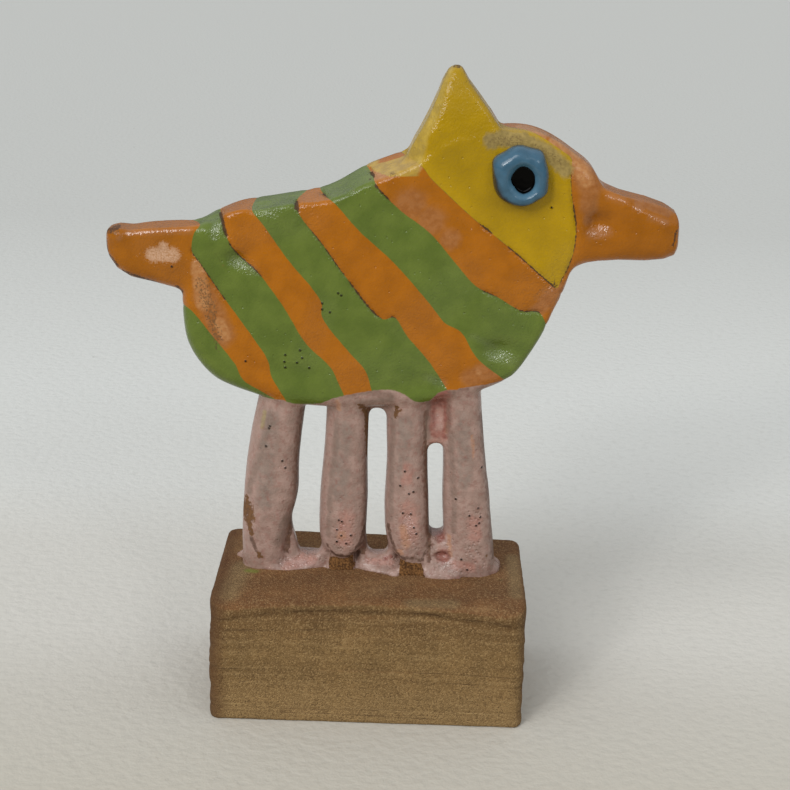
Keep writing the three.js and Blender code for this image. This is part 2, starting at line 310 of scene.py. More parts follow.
# The slab body, in the same sizes as the solid
slab = {
    "front": -0.5,
    "back": 12.5,
    "crown": 0.5,          # how far each face swells in its middle
    "crownReach": 9,       # how far in from the outline it has mostly risen
    "crispEdge": 0.9,      # rounding along the back
    "headEdge": 2.6,       # rounding over the brow
    "softEdge": 3.9,       # rounding at the rump and belly
    "chestEdge": 1.0,
    "rumpEdge": 2.4,       # added at the corner above the tail
    "unevenness": 0.26,    # hand-patted waviness of the faces
    "waves": [(0.6, 13, 1), (0.28, 5, 2), (0.12, 2.2, 3)],     # share, size and seed of each
    # how far the top slopes down toward the front, at places along the back
    "topSlope": [(-30, 0), (-18, 0.6), (-8, 2.0), (1, 2.8), (9, 2.2), (15, 0.3), (20, 0)],
    "outline": [
        (-40.4, 83), (-34, 86.6), (-22, 89.1), (-12, 91.5), (-3, 96.7), (5, 100), (14, 104), (26.5, 106.7),
        (34.6, 106.3), (42.2, 102.3), (47.9, 97.2), (46.8, 84.6), (43.6, 76.1), (40.9, 68), (37.2, 59.1),
        (31.9, 51), (25.6, 46.9), (13, 43), (-2, 41.4), (-18, 41.6), (-28.8, 44), (-37.9, 48),
        (-43.2, 55.6), (-44.3, 65.6), (-43.4, 76.1),
    ],
    # presses of a thumb on the face: x, z, half length, half height, depth; below 0 is a swelling
    "dents": [
        (48.2, 86.8, 3.2, 2.3, 1.5), (-35.5, 79.5, 3.5, 4.5, -0.45), (43.6, 93, 1.6, 6, 0.35),
        (8, 88, 9, 6, 0.4), (31, 97, 11, 9, -0.35), (-16, 60, 12, 9, -0.3), (5, 60, 9, 6, 0.35),
        (57, 84, 8, 3, -0.3), (38, 79, 4, 5, 0.35), (-22, 82, 6, 4, 0.25), (18, 50, 7, 2.5, 0.4),
        (-50, 78, 4.5, 2.6, 0.35), (28, 57, 3.2, 2, 1.5), (-31.4, 76.5, 2.7, 1.8, 1.25),
        (12, 47.6, 6, 2.2, 0.45), (-19, 50, 8, 2.6, 0.3), (36, 66, 4, 3, 0.4), (44, 70, 3, 4, -0.3),
        (-36.9, 84.8, 2, 1.8, 0.9), (-26.8, 88.5, 2.4, 1.6, 0.8), (-59, 80.4, 1.8, 1.6, -0.5),
        (66.2, 84, 1.4, 2.6, 0.3), (14.4, 40.6, 1.6, 3.2, 1.0), (8.4, 15, 1.6, 2.2, 0.4),
        (-22.6, 41, 1.8, 2, 0.4), (-29, 15, 1.6, 3, 0.35),
    ],
}
slabMid = (slab["front"] + slab["back"]) / 2
slabHalf = (slab["back"] - slab["front"]) / 2

print("figure: mapping outline and stripes")
outline = spline(slab["outline"], 8, True)
away, side, outX, outZ = nearestOn(outline, gridX, gridZ, True)
outlineMap = np.where(side > 0, -away, away)
upward = np.maximum(0, outZ)
under = np.maximum(0, -0.75 * outX - 0.66 * outZ)
edgeMap = (slab["crispEdge"] + (slab["softEdge"] - slab["crispEdge"]) * under ** 0.6
           + slab["chestEdge"] * np.maximum(0, outX)
           + (slab["headEdge"] - slab["crispEdge"]) * smoothStep(17, 25, gridX) * upward
           + slab["rumpEdge"] * smoothStep(-31, -40, gridX) * upward)
slopeMap = np.interp(gridX, *zip(*slab["topSlope"])) * smoothStep(0.5, 0.9, upward)


def slabField(x, y, z):
    edge = readMap(edgeMap, x, z)
    inset = readMap(outlineMap, x, z)
    crown = slab["crown"] * (1 - np.exp(np.minimum(inset, 0) / slab["crownReach"]))
    slope = readMap(slopeMap, x, z) * np.clip((slab["back"] - y) / (2 * slabHalf), 0, 1)
    return roundCorner(inset + slope, np.abs(y - slabMid) - slabHalf - crown, edge)


# Limbs that grow out of the slab. Each section is (place along it, low side, high side, half depth), and a
# bevel is the crease line of its cut front edge, with the cut away side on its left.
tail = {
    "midY": 4.6, "lowEdge": 3.4, "highEdge": 1.2, "axis": "x", "endReach": 1.6,
    "sections": [
        (-38, 67.2, 83.6, 5), (-45, 68.3, 83.1, 5), (-51, 69.8, 82.6, 4.8), (-56, 70.8, 81.9, 4.5),
        (-59.2, 72.6, 82.1, 4), (-61, 75, 81.8, 3), (-61.8, 76.8, 80.8, 1.6),
    ],
}
snout = {
    "midY": 5, "lowEdge": 3.2, "highEdge": 1.2, "axis": "x", "endReach": 0.7,
    "sections": [
        (40, 76.6, 97, 5.1), (45.5, 77, 97.6, 5.5), (49.5, 77.8, 94.6, 5.6), (54, 78.1, 92.9, 5.4),
        (60, 78, 91.4, 5.2), (64.2, 78.3, 90, 4.7), (66.6, 79, 88.6, 3.9), (67.45, 80.2, 86.8, 2.8),
    ],
    "bevel": [
        (44, 98), (47.6, 94.6), (50.7, 93), (53.9, 92.2), (56.8, 90.4), (60.1, 89), (63.5, 87.3), (67, 86),
    ],
}
ear = {
    "midY": 6.1, "lowEdge": 1.4, "highEdge": 1.6, "axis": "z", "endReach": 0.8,
    "sections": [
        (92, 2, 35, 4.8), (98.5, 5.2, 32.4, 5.6), (102.6, 7, 29.6, 6.5), (106.2, 8.9, 26.8, 6.55),
        (110, 10.8, 24.4, 6), (113.6, 12.3, 21.6, 5.1), (116.8, 13.4, 19.1, 4), (119, 14.5, 17.9, 2.7),
        (120, 15.5, 17.2, 1.3),
    ],
    "bevel": [
        (8.6, 96), (9.6, 99.6), (10.3, 102.3), (10.5, 104.1), (11.3, 106.5), (12.3, 108.5), (13.2, 110.7),
        (13.9, 113.3), (14.3, 115.5), (15.3, 118.3),
    ],
}
for limb in (snout, ear):
    limb["bevelMap"] = lineMap(limb["bevel"])


def limbField(limb, x, y, z):
    rows = np.array(limb["sections"], float)
    along, across = (x, z) if limb["axis"] == "x" else (z, x)
    if rows[0, 0] > rows[-1, 0]:
        rows = rows[::-1]
    low, high, deep = (np.interp(along, rows[:, 0], rows[:, k]) for k in (1, 2, 3))
    half = (high - low) / 2
    off = across - (low + high) / 2
    edge = np.where(off > 0, limb["highEdge"], limb["lowEdge"])
    edge = np.minimum(edge, 0.9 * np.minimum(deep, half))
    body = roundCorner(np.abs(off) - half, np.abs(y - limb["midY"]) - deep, edge)
    if "bevel" in limb:
        cut = (readMap(limb["bevelMap"], x, z) - (y - limb["midY"] + deep)) * math.sqrt(0.5)
        body = softMax(body, cut, 0.6)
    return softMax(body, np.maximum(rows[0, 0] - along, along - rows[-1, 0]), limb["endReach"])


# Legs in one row, with sizes at six heights: middle, width, how far the front left edge leans back, and
# how far the front swells forward. Where "stub" is given, the glaze ends above a bare clay foot.
legs = {
    "heights": [47, 36, 27, 18, 10, 0],
    "midY": 6, "halfDepth": 5.5, "roundness": 2.9,
    "endRound": 2.6,       # how far the glaze's lower end curves up toward each side
    "row": [
        {"midX": [-20.9, -22.9, -24.0, -24.4, -25.5, -26], "width": [11.0, 11.3, 12.2, 12.8, 11.4, 10.4],
         "bevel": [3.6, 3.8, 3.4, 2.6, 1.6, 1.2], "forward": [0, 0, 0, 0.1, 0.2, 0.2]},
        {"midX": [-6.3, -6.4, -6.7, -7.0, -7.2, -7], "width": [9.4, 9.8, 10.5, 11.4, 11.2, 9],
         "bevel": [2.6, 2.6, 2.5, 2.2, 1.6, 1.2], "forward": [0, 0, 0, 0.1, 0.2, -0.2],
         "stub": {"end": 3.2, "midX": -7.1, "half": 2.7, "front": 1.2}},
        {"midX": [7.4, 7.5, 7.6, 7.8, 8.3, 9.6], "width": [9.0, 9.1, 9.1, 10.3, 10.2, 8.6],
         "bevel": [1.6, 1.6, 1.5, 1.5, 1.6, 1.6], "forward": [0, 0.1, 0.2, 0.7, 1.1, 1.3],
         "stub": {"end": 3.2, "midX": 9.7, "half": 2.8, "front": -0.9}},
        {"midX": [19.8, 20.7, 21.5, 22.2, 23.0, 23.8], "width": [9.0, 9.5, 10.1, 11.2, 11.5, 11.6],
         "bevel": [1.9, 2.0, 2.0, 1.9, 1.7, 0.6], "forward": [0, 0, 0.1, 0.4, 0.6, 0.8]},
    ],
}
for leg in legs["row"]:
    rows = list(zip(legs["heights"], leg["midX"], leg["width"], leg["bevel"], leg["forward"]))
    leg["track"] = spline(rows, 8, False)[::-1]


def besideStub(stub, x, z):
    # how far to the side of a bare foot, which widens toward the plinth
    return np.abs(x - stub["midX"]) - stub["half"] - 0.15 * np.maximum(stub["end"] - z, 0)


def legField(leg, x, y, z):
    track = leg["track"]
    midX, width, bevel, forward = (np.interp(z, track[:, 0], track[:, k]) for k in (1, 2, 3, 4))
    half = width / 2
    deep = legs["halfDepth"] + forward / 2
    u = (x - midX) / half
    v = (y - legs["midY"] + forward / 2) / deep
    cutBack = (np.hypot(np.maximum(-u - 0.25, 0), 0.12) - 0.12) * 1.25
    v = v - bevel / deep * np.minimum(cutBack, 1.1) * np.clip(-v, 0, 1.2)
    n = legs["roundness"]
    r = (np.abs(u) ** n + np.abs(v) ** n) ** (1 / n)
    body = (r - 1) * np.minimum(half, deep) * 0.96
    body = softMax(body, z - legs["heights"][0], 1)
    if "stub" in leg:
        stub = leg["stub"]
        gone = np.minimum(stub["end"] + legs["endRound"] * np.clip(u, -1.1, 1.1) ** 2 - z, 5 - y)
        body = softMax(body, gone, 2.0)
        foot = roundCorner(besideStub(stub, x, z), stub["front"] + 0.12 * z - y, 1.3)
        body = np.minimum(body, np.maximum(foot, np.maximum(y - 11, z - 7)))
    return body


# Glaze between the legs: curtains under the belly, low webs at the feet, froth between the last two legs,
# and the pool on the plinth
curtains = {
    "top": 44.6,
    # the opening in each: middle, half width and height of its arch and of its foot
    "row": [
        {"left": -20, "right": -9, "half": 2.5, "end": 22,
         "arch": (-13.8, 2.9, 43.4), "foot": (-16.6, 5.6, -8)},
        {"left": -4.5, "right": 6, "half": 2.5, "end": 22,
         "arch": (0.5, 2.5, 40.2), "foot": (0.6, 4.2, -6.2)},
        {"left": 10, "right": 20, "half": 3.4, "end": 0,
         "arch": (14.7, 2.3, 32.3), "foot": (15, 2.4, 7.9)},
    ],
}
webTop = 13
# each a film from left to right, open under midZ
webs = [
    {"midX": -14.9, "midZ": 5.7, "opening": 3.1, "left": -21, "right": -10, "midY": 5.0, "half": 2.0},
    {"midX": 1.4, "midZ": 5.9, "opening": 2.8, "left": -3, "right": 6, "midY": 5.2, "half": 2.1},
]
froth = {
    "midX": 16.4, "half": 4.8, "top": 8.3, "sag": 0.1, "sagX": 15.8, "front": -1.5, "back": 9, "lean": 0.42,
    # burst bubbles: x, z, half width, half height
    "pits": [
        (16.3, 8.5, 1.7, 1.0), (17.0, 4.7, 2.2, 1.1), (14.0, 6.7, 0.8, 0.6), (19.6, 6.2, 0.7, 0.6),
        (14.4, 4.2, 0.5, 0.4), (18.7, 8.0, 0.5, 0.5),
    ],
}
pool = {
    "height": 1.3, "bottom": -0.4, "rim": 0.7,
    "front": [
        (-33.2, 8), (-32.4, 7.6), (-30.4, 5.4), (-26.7, 0.9), (-20.6, -0.3), (-14.8, 1.4), (-11.2, 3.4),
        (-9.9, 4.4), (-4.4, 4.6), (-3.8, 3.2), (-1, 1.4), (3.3, -0.3), (6, -1.6), (7.2, -0.6), (8, 1.4),
        (11.6, 1.4), (12.6, -0.8), (14, -1.6), (18.9, -1.6), (23.7, 0.6), (30, 2.2), (31.2, 6),
    ],
    "back": [
        (-33.2, 8.4), (-30, 12), (-20, 13.6), (-8, 12.2), (4, 13.5), (16, 12.9), (27, 13.3), (31.2, 9),
    ],
}
poolFront = spline(pool["front"], 5, False).T

# how wide the clay or glaze is smoothed where each part joins the rest
joins = {"ear": 1.2, "snout": 3.0, "tail": 1.6, "curtain": 1.2, "web": 2.2, "froth": 1.6, "pool": 1.2,
         "belly": 1.4}


def curtainField(curtain, x, y, z):
    midX = (curtain["left"] + curtain["right"]) / 2
    plate = np.maximum(np.abs(x - midX) - (curtain["right"] - curtain["left"]) / 2, z - curtains["top"])
    archX, archHalf, archZ = curtain["arch"]
    footX, footHalf, footZ = curtain["foot"]
    lowZ = footZ + footHalf
    t = np.clip((archZ - archHalf - z) / (archZ - archHalf - lowZ), 0, 1)
    half = archHalf + (footHalf - archHalf) * t
    opening = np.hypot(x - archX - (footX - archX) * t, z - np.clip(z, lowZ, archZ - archHalf)) - half
    plate = softMax(softMax(plate, -opening, 0.9), curtain["end"] - z, 2)
    return softMax(plate, np.abs(y - legs["midY"]) - curtain["half"], 1.6)


def webField(web, x, y, z):
    # a film between two legs, hanging in a curve
    rise = z - web["midZ"]
    opening = np.hypot(x - web["midX"], np.minimum(rise, 0)) - web["opening"] - 0.3 * np.maximum(rise, 0)
    beside = np.maximum(web["left"] - x, x - web["right"])
    film = softMax(np.maximum(beside, z - webTop), -opening, 0.8)
    return roundCorner(film, np.abs(y - web["midY"]) - web["half"], 1.2)


def frothField(x, y, z):
    top = froth["top"] + froth["sag"] * (x - froth["sagX"]) ** 2
    body = np.maximum(np.abs(x - froth["midX"]) - froth["half"], z - top)
    body = softMax(body, (froth["front"] + froth["lean"] * z - y) * 0.9, 1.0)
    body = softMax(body, y - froth["back"], 1.0)
    for midX, midZ, halfX, halfZ in froth["pits"]:
        faceY = froth["front"] + froth["lean"] * midZ
        deep = min(halfX, 1.4)
        r = np.sqrt(((x - midX) / halfX) ** 2 + ((z - midZ) / halfZ) ** 2 + ((y - faceY) / deep) ** 2)
        body = softMax(body, (1 - r) * min(halfX, halfZ), 0.4)
    return body


def poolField(x, y, z):
    front = np.interp(x, *poolFront)
    back = np.interp(x, *zip(*pool["back"]))
    inside = np.minimum(y - front, back - y) * 0.85
    inside = np.minimum(inside, np.minimum(x - pool["front"][0][0], pool["front"][-1][0] - x))
    height = pool["height"] * (1 - np.exp(-np.maximum(inside, 0) / pool["rim"]))
    return (z - height + 1.2 * smoothStep(0.15, -0.4, inside)) * 0.72


def bodyField(x, y, z):
    # the fused clay figure, before the glaze's own relief
    trunk = slabField(x, y, z)
    for name, limb in (("ear", ear), ("snout", snout), ("tail", tail)):
        trunk = softMin(trunk, limbField(limb, x, y, z), joins[name])
    stand = np.min([legField(leg, x, y, z) for leg in legs["row"]], axis=0)
    for curtain in curtains["row"]:
        stand = softMin(stand, curtainField(curtain, x, y, z), joins["curtain"])
    low = poolField(x, y, z)
    for web in webs:
        low = softMin(low, webField(web, x, y, z), joins["web"])
    low = softMin(low, frothField(x, y, z), joins["froth"])
    return softMin(trunk, softMin(stand, low, joins["pool"]), joins["belly"])


# Brushed stripes. Each line parts two colours from the back down to the belly, named by what it starts.
stripes = {
    "groove": 0.15,        # how deep the coats dip where they meet
    "grooveHalf": 0.45,    # half the width of that dip
    "gapDepth": 0.4,       # bare clay left between two coats
    "lines": {
        "neckBand": [
            (4, 102.1), (7, 100.2), (9.7, 98.2), (11.1, 96.3), (14.5, 93.1), (20.7, 87.6), (29.4, 80.8),
            (37.6, 73.9), (40.2, 71.7), (44, 68),
        ],
        "firstGreen": [
            (-3.1, 98.8), (-1.4, 96.2), (-0.8, 94.3), (4.7, 88.7), (11.5, 83.7), (16.8, 77.7),
            (22.2, 71.8), (27.5, 69.2), (32.8, 66.3), (36.6, 66.2), (39, 62),
        ],
        "secondOrange": [
            (-13.3, 93.6), (-12.3, 91.8), (-9.6, 89.6), (-4.8, 84.2), (4.1, 76.2), (12.9, 66.2),
            (15.5, 63), (19.2, 61), (22.9, 55.1), (25.5, 52.8), (30, 49.6),
        ],
        "secondGreen": [
            (-16, 92.6), (-18.2, 90.3), (-17.8, 87.4), (-12.5, 80.5), (-7.3, 73.3), (1.4, 63.4), (4, 64),
            (7, 59.7), (12.4, 53.4), (16, 48),
        ],
        "thirdOrange": [
            (-26.6, 91.4), (-28.2, 88), (-25.7, 84.5), (-20.1, 76.6), (-14.2, 69.6), (-12.4, 66.6),
            (-12.4, 63.8), (-7, 56.4), (-2.4, 51.2), (-0.6, 46),
        ],
        "thirdGreen": [
            (-35.3, 88.5), (-35, 86), (-32.9, 79.5), (-26.6, 73.2), (-20.5, 64.7), (-15.9, 57.1),
            (-10.2, 51.5), (-8, 47),
        ],
        "fourthOrange": [
            (-47, 86.4), (-42.9, 85.6), (-39.8, 84.3), (-41.2, 82), (-41.7, 78), (-39.9, 75.3), (-35, 68),
            (-29.4, 60.2), (-24.6, 52.7), (-23.8, 49), (-21.5, 45),
        ],
        "rumpGreen": [
            (-75, 62), (-52, 64.2), (-46.4, 66), (-43.2, 65.2), (-36.9, 57.8), (-32.2, 51.8), (-30.3, 48),
            (-26, 45.3),
        ],
        "faceEnd": [
            (18, 126), (21.5, 117), (26, 108.6), (32.6, 107.1), (39.3, 103.3), (42, 101.2), (42, 98.5),
            (42.5, 93.2), (43.9, 86), (43.7, 80.8), (42.7, 77), (40.6, 71.9), (38, 60),
        ],
        "pinkTop": [
            (-40, 43.4), (-30, 43), (-22, 43), (-17.3, 42), (-13.1, 42.6), (-9, 44.2), (-4, 45.4),
            (0, 46.4), (4, 46.4), (7, 45.2), (9.8, 43.6), (12.6, 43.8), (14.6, 46), (18, 46.8), (28, 49),
        ],
    },
    # bare gaps: line, from height, to height, half width
    "gaps": [
        ("thirdGreen", 88, 81, 0.36), ("thirdGreen", 81, 72, 0.15), ("secondGreen", 90.4, 87.4, 0.5),
        ("secondGreen", 86, 72.5, 0.09), ("secondGreen", 72.5, 63.5, 0.22), ("neckBand", 86.4, 83.6, 0.26),
        ("neckBand", 82, 72, 0.13), ("neckBand", 76, 71, 0.2), ("faceEnd", 98.5, 72, 0.05),
        ("faceEnd", 91.5, 86, 0.2), ("faceEnd", 82, 79.4, 0.17), ("firstGreen", 98.6, 95.6, 0.4),
        ("firstGreen", 95, 90, 0.16), ("firstGreen", 71.5, 69, 0.16), ("firstGreen", 67.4, 65.4, 0.18),
        ("secondOrange", 93, 90.8, 0.3), ("fourthOrange", 79, 66, 0.08),
    ],
}
# positive on the upper right of each line, because all of them run down to the right
lineOf = {name: lineMap(points) for name, points in stripes["lines"].items()}
head = lineOf["neckBand"]
beyondFace = lineOf["faceEnd"]
bands = [
    np.minimum(-head, lineOf["firstGreen"]),
    np.minimum(-lineOf["secondOrange"], lineOf["secondGreen"]),
    np.minimum(-lineOf["thirdOrange"], lineOf["thirdGreen"]),
    np.minimum(-lineOf["fourthOrange"], lineOf["rumpGreen"]),
    np.minimum(head, beyondFace),
]
orangeMap = np.max(bands, axis=0)
yellowMap = np.minimum(head, -beyondFace)
meetMap = np.minimum(np.abs(orangeMap), np.abs(yellowMap))
seamMap = np.full(gridX.shape, 99.0)      # signed distance to the nearest line with gaps
seamHalfMap = np.full(gridX.shape, -1.0)  # half width of the gap there
for name in dict.fromkeys(row[0] for row in stripes["gaps"]):
    half = np.full(gridX.shape, -0.5)
    for top, low, widest in (row[1:] for row in stripes["gaps"] if row[0] == name):
        fade = smoothStep(low - 1.2, low + 1.2, gridZ) * smoothStep(top + 1.2, top - 1.2, gridZ)
        half = np.maximum(half, (widest + 0.5) * fade - 0.5)
    nearer = np.abs(lineOf[name]) < np.abs(seamMap)
    seamMap[nearer] = lineOf[name][nearer]
    seamHalfMap[nearer] = half[nearer]


def seenFrom(x, y, z):
    # the brushed pattern runs straight back over the top edges, as it shows from the front
    place = camera["place"]
    t = np.maximum(y + 1, 0) / (y - place[1])
    return x + (place[0] - x) * t, z + (place[2] - plinthTop - z) * t


reach = (-61.7, 67.5)      # the figure's ends along x, a little inside the solid
figureBox = ((-64, -3.6, -1.4), (70, 15, 122))     # a little wider than the figure
figureVoxel = 0.58


def dogField(p):
    x, y, z = p[:, 0], p[:, 1], p[:, 2]
    whole = bodyField(x, y, z)
    wavy = sum(share * latticeNoise(p, size, seed) for share, size, seed in slab["waves"])
    relief = -slab["unevenness"] * wavy
    front = smoothStep(7, 3, y)
    for midX, midZ, halfX, halfZ, depth in slab["dents"]:
        relief = relief + depth * front * np.exp(-((x - midX) / halfX) ** 2 - ((z - midZ) / halfZ) ** 2)
    seenX, seenZ = seenFrom(x, y, z)
    onBody = smoothStep(-0.5, 0.6, readMap(lineOf["pinkTop"], x, z))
    meet = readMap(meetMap, seenX, seenZ)
    gap = readMap(seamHalfMap, seenX, seenZ) - np.abs(readMap(seamMap, seenX, seenZ))
    relief = relief + onBody * stripes["groove"] * np.exp(-(meet / stripes["grooveHalf"]) ** 2)
    relief = relief + onBody * stripes["gapDepth"] * smoothStep(-0.45, 0.15, gap) * smoothStep(11, 8, y)
    whole = whole + relief * smoothStep(0, 3, z)
    for leg in legs["row"]:
        if "stub" in leg:
            bare = smoothStep(0.3, -0.5, besideStub(leg["stub"], x, z))
            bare = bare * smoothStep(leg["stub"]["end"] + 0.6, 2, z)
            whole = whole + bare * (0.25 + 0.35 * latticeNoise(p, 1.1, 4)) * smoothStep(5, 3, y)
    whole = softMax(whole, np.maximum(reach[0] - x, x - reach[1]), 0.4)
    return np.maximum(whole, pool["bottom"] - z)


# Wear, thin coats, smears, gloss patches and painted shade on the side that shows, as patches and paths for
# softSpots
wearAndShade = {
    "thin": [
        (7, 90, 4.6), (11.5, 86.5, 4.2), (16, 82.5, 3), (-35, 89.5, -28, 91, 1.3), (57, 92, 64, 89.6, 1),
        (41, 72, 36, 66, 2), (22, 50, 26, 52, 3), (44.6, 98.2, 46.4, 94.6, 3), (46, 95, 46.4, 90.5, 2.4),
        (46.3, 90.5, 46.4, 87.4, 1.3), (-38.9, 68, -35, 58.6, 3.4),
    ],
    "peach": [
        (-0.6, 96.6, 3, 97.6, 1.9), (5, 99.8, 8.2, 98.6, 1.6), (30.4, 107.9, 35.5, 106.3, 1.2),
        (38, 104.6, 42.6, 101.2, 1.7), (44.2, 99.4, 45.4, 96.6, 2), (23.6, 51.6, 0.9),
        (-40.4, 74.5, -39.4, 66, 2), (-35.6, 61.5, -34.4, 58.4, 1.6), (-33.4, 90.4, -27, 92.4, 1.5),
    ],
    "sheen": [
        (-36, 84.6, -36.7, 81.6, 1.2), (-32.3, 76.3, -28.2, 74.1, 1.7), (-27.3, 88.3, -23.7, 87.2, 1.8),
        (-22.8, 89.6, -19.6, 90.4, 1.2), (26.2, 56, 31.4, 54.4, 2.4), (12, 50, 15.4, 48.6, 1.6),
        (-10.9, 92.2, -6, 92.8, 1), (36, 69.5, 38.4, 72, 1.2), (22, 60, 27, 57.6, 1),
        (8.6, 15, 9, 10, 1.4),
    ],
    "grain": [
        (30, 66, 30, 56, 8), (14, 54, -6, 50, 6), (34, 72, 38, 70, 5), (8, 62, 20, 74, 6),
        (-12, 66, -16, 54, 4), (-30, 82, -14, 86, 4), (-52, 79, -46, 74, 4), (39, 74, 42, 80, 3),
    ],
    "wet": [
        (47.4, 84.4, 51, 84.9, 1.5), (50.7, 93, 53.9, 92, 0.9), (56.8, 90.7, 57.8, 90.2, 0.8),
        (60.1, 88.6, 63.6, 87.4, 0.9), (-58, 80.6, 0.9), (14.6, 40, 14.6, 37.6, 1.3), (37.6, 71, 1.2),
        (-36, 84.6, -36.7, 81.6, 1.2), (-32.3, 76.3, -28.2, 74.1, 1.2), (-56, 81.6, -42, 82.6, 0.8),
        (8.8, 15, 9, 9, 1.6), (-6.4, 10, 1.4), (17, 3, 21, 2, 1.4), (-21, 2.6, -16, 2.4, 1.2),
        (-22, 43.6, 0.8), (8.6, 29, 0.8), (26.4, 55.6, 31, 54.4, 1.6), (12.6, 49.6, 15.6, 48.6, 1.2),
    ],
    # painted shade: patches darkened over the upper head and ear, and the snout and tail patches darkened
    # the same way
    "deep": [(50.5, 86, 66, 84.5, 9), (-47.5, 76, -60, 78, 8), (20, 103, 27, 94, 10), (17, 113, 7)],
    "worn": [(-39.6, 71, -37.6, 64, 2.8), (-37.6, 63, -36, 57.6, 2), (-59, 82.4, 2), (3, 96.6, 1.4)],
    "brow": [
        (24.4, 104.7, 2.4), (26.5, 105.3, 31, 105, 2.3), (33, 104.5, 37.6, 102, 2),
        (38.2, 101.2, 40.8, 98.8, 2.1),
    ],
    "browSpecks": [(25, 104.6, 30, 105, 2.1), (34, 103.6, 40, 100.4, 1.5)],
    "blister": [(-50.4, 77, -46, 77, 2.5), (-48, 79, 1.6)],
    "burnt": [
        (-61.2, 80.8, -60.8, 77.5, 0.6), (-60.6, 76.8, -58.6, 74.2, 0.6), (-60.4, 82, -58, 83.2, 0.9),
        (-57.5, 73, -51, 70.8, 0.5), (-51, 70.8, -44, 68.2, 0.55), (66.2, 86, 65.6, 82.2, 0.4),
        (15.6, 120.6, 16.6, 120.6, 0.6), (-18.6, 88.6, 0.55), (-12.4, 91.9, -11.4, 91.2, 0.4),
        (-1, 94, 0.2, 93.2, 0.5), (-2.1, 95.4, 0.4), (40.2, 71.6, 0.6), (-36.6, 57, -36.1, 54.5, 0.35),
        (-45.2, 69.8, -43.9, 68.6, 0.5),
    ],
}
# Marks on the legs: stains, smears and bare clay, with painted shade in the creases, outlines and under the
# belly
legWearAndShade = {
    "bare": [
        (-29.9, 15.4, -29.5, 12.6, 2.1), (-30, 17.4, 0.8), (-29.3, 11, -28.7, 9, 0.9),
        (-26.9, 3.9, -26.5, 3.2, 0.9), (5.2, 42.3, 4.9, 39.3, 0.6), (6.1, 41.3, 0.5),
        (-3.4, 42.2, -2.6, 41.2, 0.9), (-3, 42, -2, 40.1, 1), (-2, 40.1, -1.7, 34.2, 0.7),
        (-1.7, 34.2, -1.5, 28.7, 0.5), (27.4, 5.1, 0.5),
    ],
    # painted shade: thin dark lines along the legs' front left arrises and where they join, and around the
    # glaze's lower ends where they overhang the bare feet
    "crease": [
        (-3, 43.4, 3.6, 44, 0.8), (-24.1, 39, -25.9, 31.5, -28.1, 24.9, 1.2), (-28.1, 24.9, -29.5, 19, 1),
        (-8.7, 38, -9, 31.5, -9.7, 24, 0.9), (-9.7, 24, -10.2, 17, 0.8), (-10.2, 17, -10.4, 9, 0.7),
        (4.4, 40, 4.3, 27, 4.4, 14, 0.8), (17.8, 36, 18.4, 27.4, 19.2, 20, 1), (19.2, 20, 19.4, 11, 0.8),
        (-20.6, 13, -22.4, 7, 1.3), (12.4, 34, 12.5, 44, 0.8), (17.4, 35, 17.2, 44, 0.8),
    ],
    "outline": [
        (-29, 8.2, -26.9, 3.8, 0.8), (-10.7, 6.6, -9.9, 5.2, 0.5), (-9.9, 5.2, -8.6, 4.2, 0.6),
        (-8.6, 4.2, -5.4, 3.9, 0.7), (-5.4, 3.9, -4.2, 4.8, 0.8), (-4.2, 4.8, -2.7, 7.4, 0.7),
        (-2.7, 7.4, -1.8, 10.8, 0.6), (3.8, 12, 4.6, 8.6, 0.6), (4.6, 8.6, 5.8, 6, 0.7),
        (5.8, 6, 7, 4.4, 0.6), (7, 4.4, 12, 4, 0.8), (12, 4, 13.2, 6.4, 0.5),
    ],
    "shade": [
        (-10.4, 45.2, -6.9, 45.6, 1.2), (-6.9, 45.6, -2.4, 46.2, 3.4, 44.8, 1.5),
        (-15.6, 43, -13, 43.4, 1), (11, 44.2, 14, 45, 1), (15, 45.6, 21, 47.4, 1.1),
    ],
    "orangeSmear": [
        (-8.6, 43.2, -8.3, 41, 0.8), (22.8, 35.4, 23.4, 30, 0.5), (16.9, 38, 16.7, 35.5, 0.6),
        (18.3, 9.5, 18.8, 5, 0.7), (7.4, 12, 8.2, 8, 1.4), (-7.2, 9.4, 1.5), (6.8, 5.8, 1.2),
    ],
    "oliveSmear": [(-25.6, 39.4, -26.2, 35.6, 0.7), (-28, 42.5, -28.6, 39, 0.7)],
    "rosy": [
        (15.4, 44, 15.2, 34, 2.6), (16.4, 9.4, 1.6), (17.1, 5, 2), (-17, 2, 1.6), (3.5, 2.8, 0.8),
        (4.9, 3.1, 0.5), (-20.5, 1, -14, 1.8, 1.2), (8.6, 17, 9, 10, 2.6), (8, 27, 8, 24, 1.6),
        (-6, 14, -6.6, 8, 2.4), (24, 14, 24.6, 10, 2), (20, 3, 24, 2.4, 1.4), (-1, 2, 5, 2, 0.8),
        (14.5, 40, 14.6, 37, 1.6),
    ],
    "grey": [
        (-24.4, 38, -25.5, 18, 3), (-7, 36, -8, 20, 2.6), (7, 38, 7, 26, 2.4), (20.4, 40, 21.4, 24, 2.2),
    ],
    "red": [
        (16.3, 8.6, 1.3), (17, 4.6, 1.9), (15, 45.5, 15, 43, 2.6), (13.2, 42, 13.4, 36, 1.1),
        (16.9, 42, 16.8, 36, 1), (14, 34.8, 16.4, 34.6, 1), (4.9, 3.2, 0.5), (3.3, 2.7, 0.6),
    ],
    "bubbly": [
        (7.8, 14, 9.4, 6, 3.4), (-7.2, 13, -6.6, 7, 3.4), (16.5, 9, 17.5, 3, 4.2), (-22, 1.4, -13, 2, 2),
        (0, 2, 6, 2, 1.6), (27, 2.5, 22, 1.5, 1.6), (24, 16, 24, 4, 2.6),
    ],
}
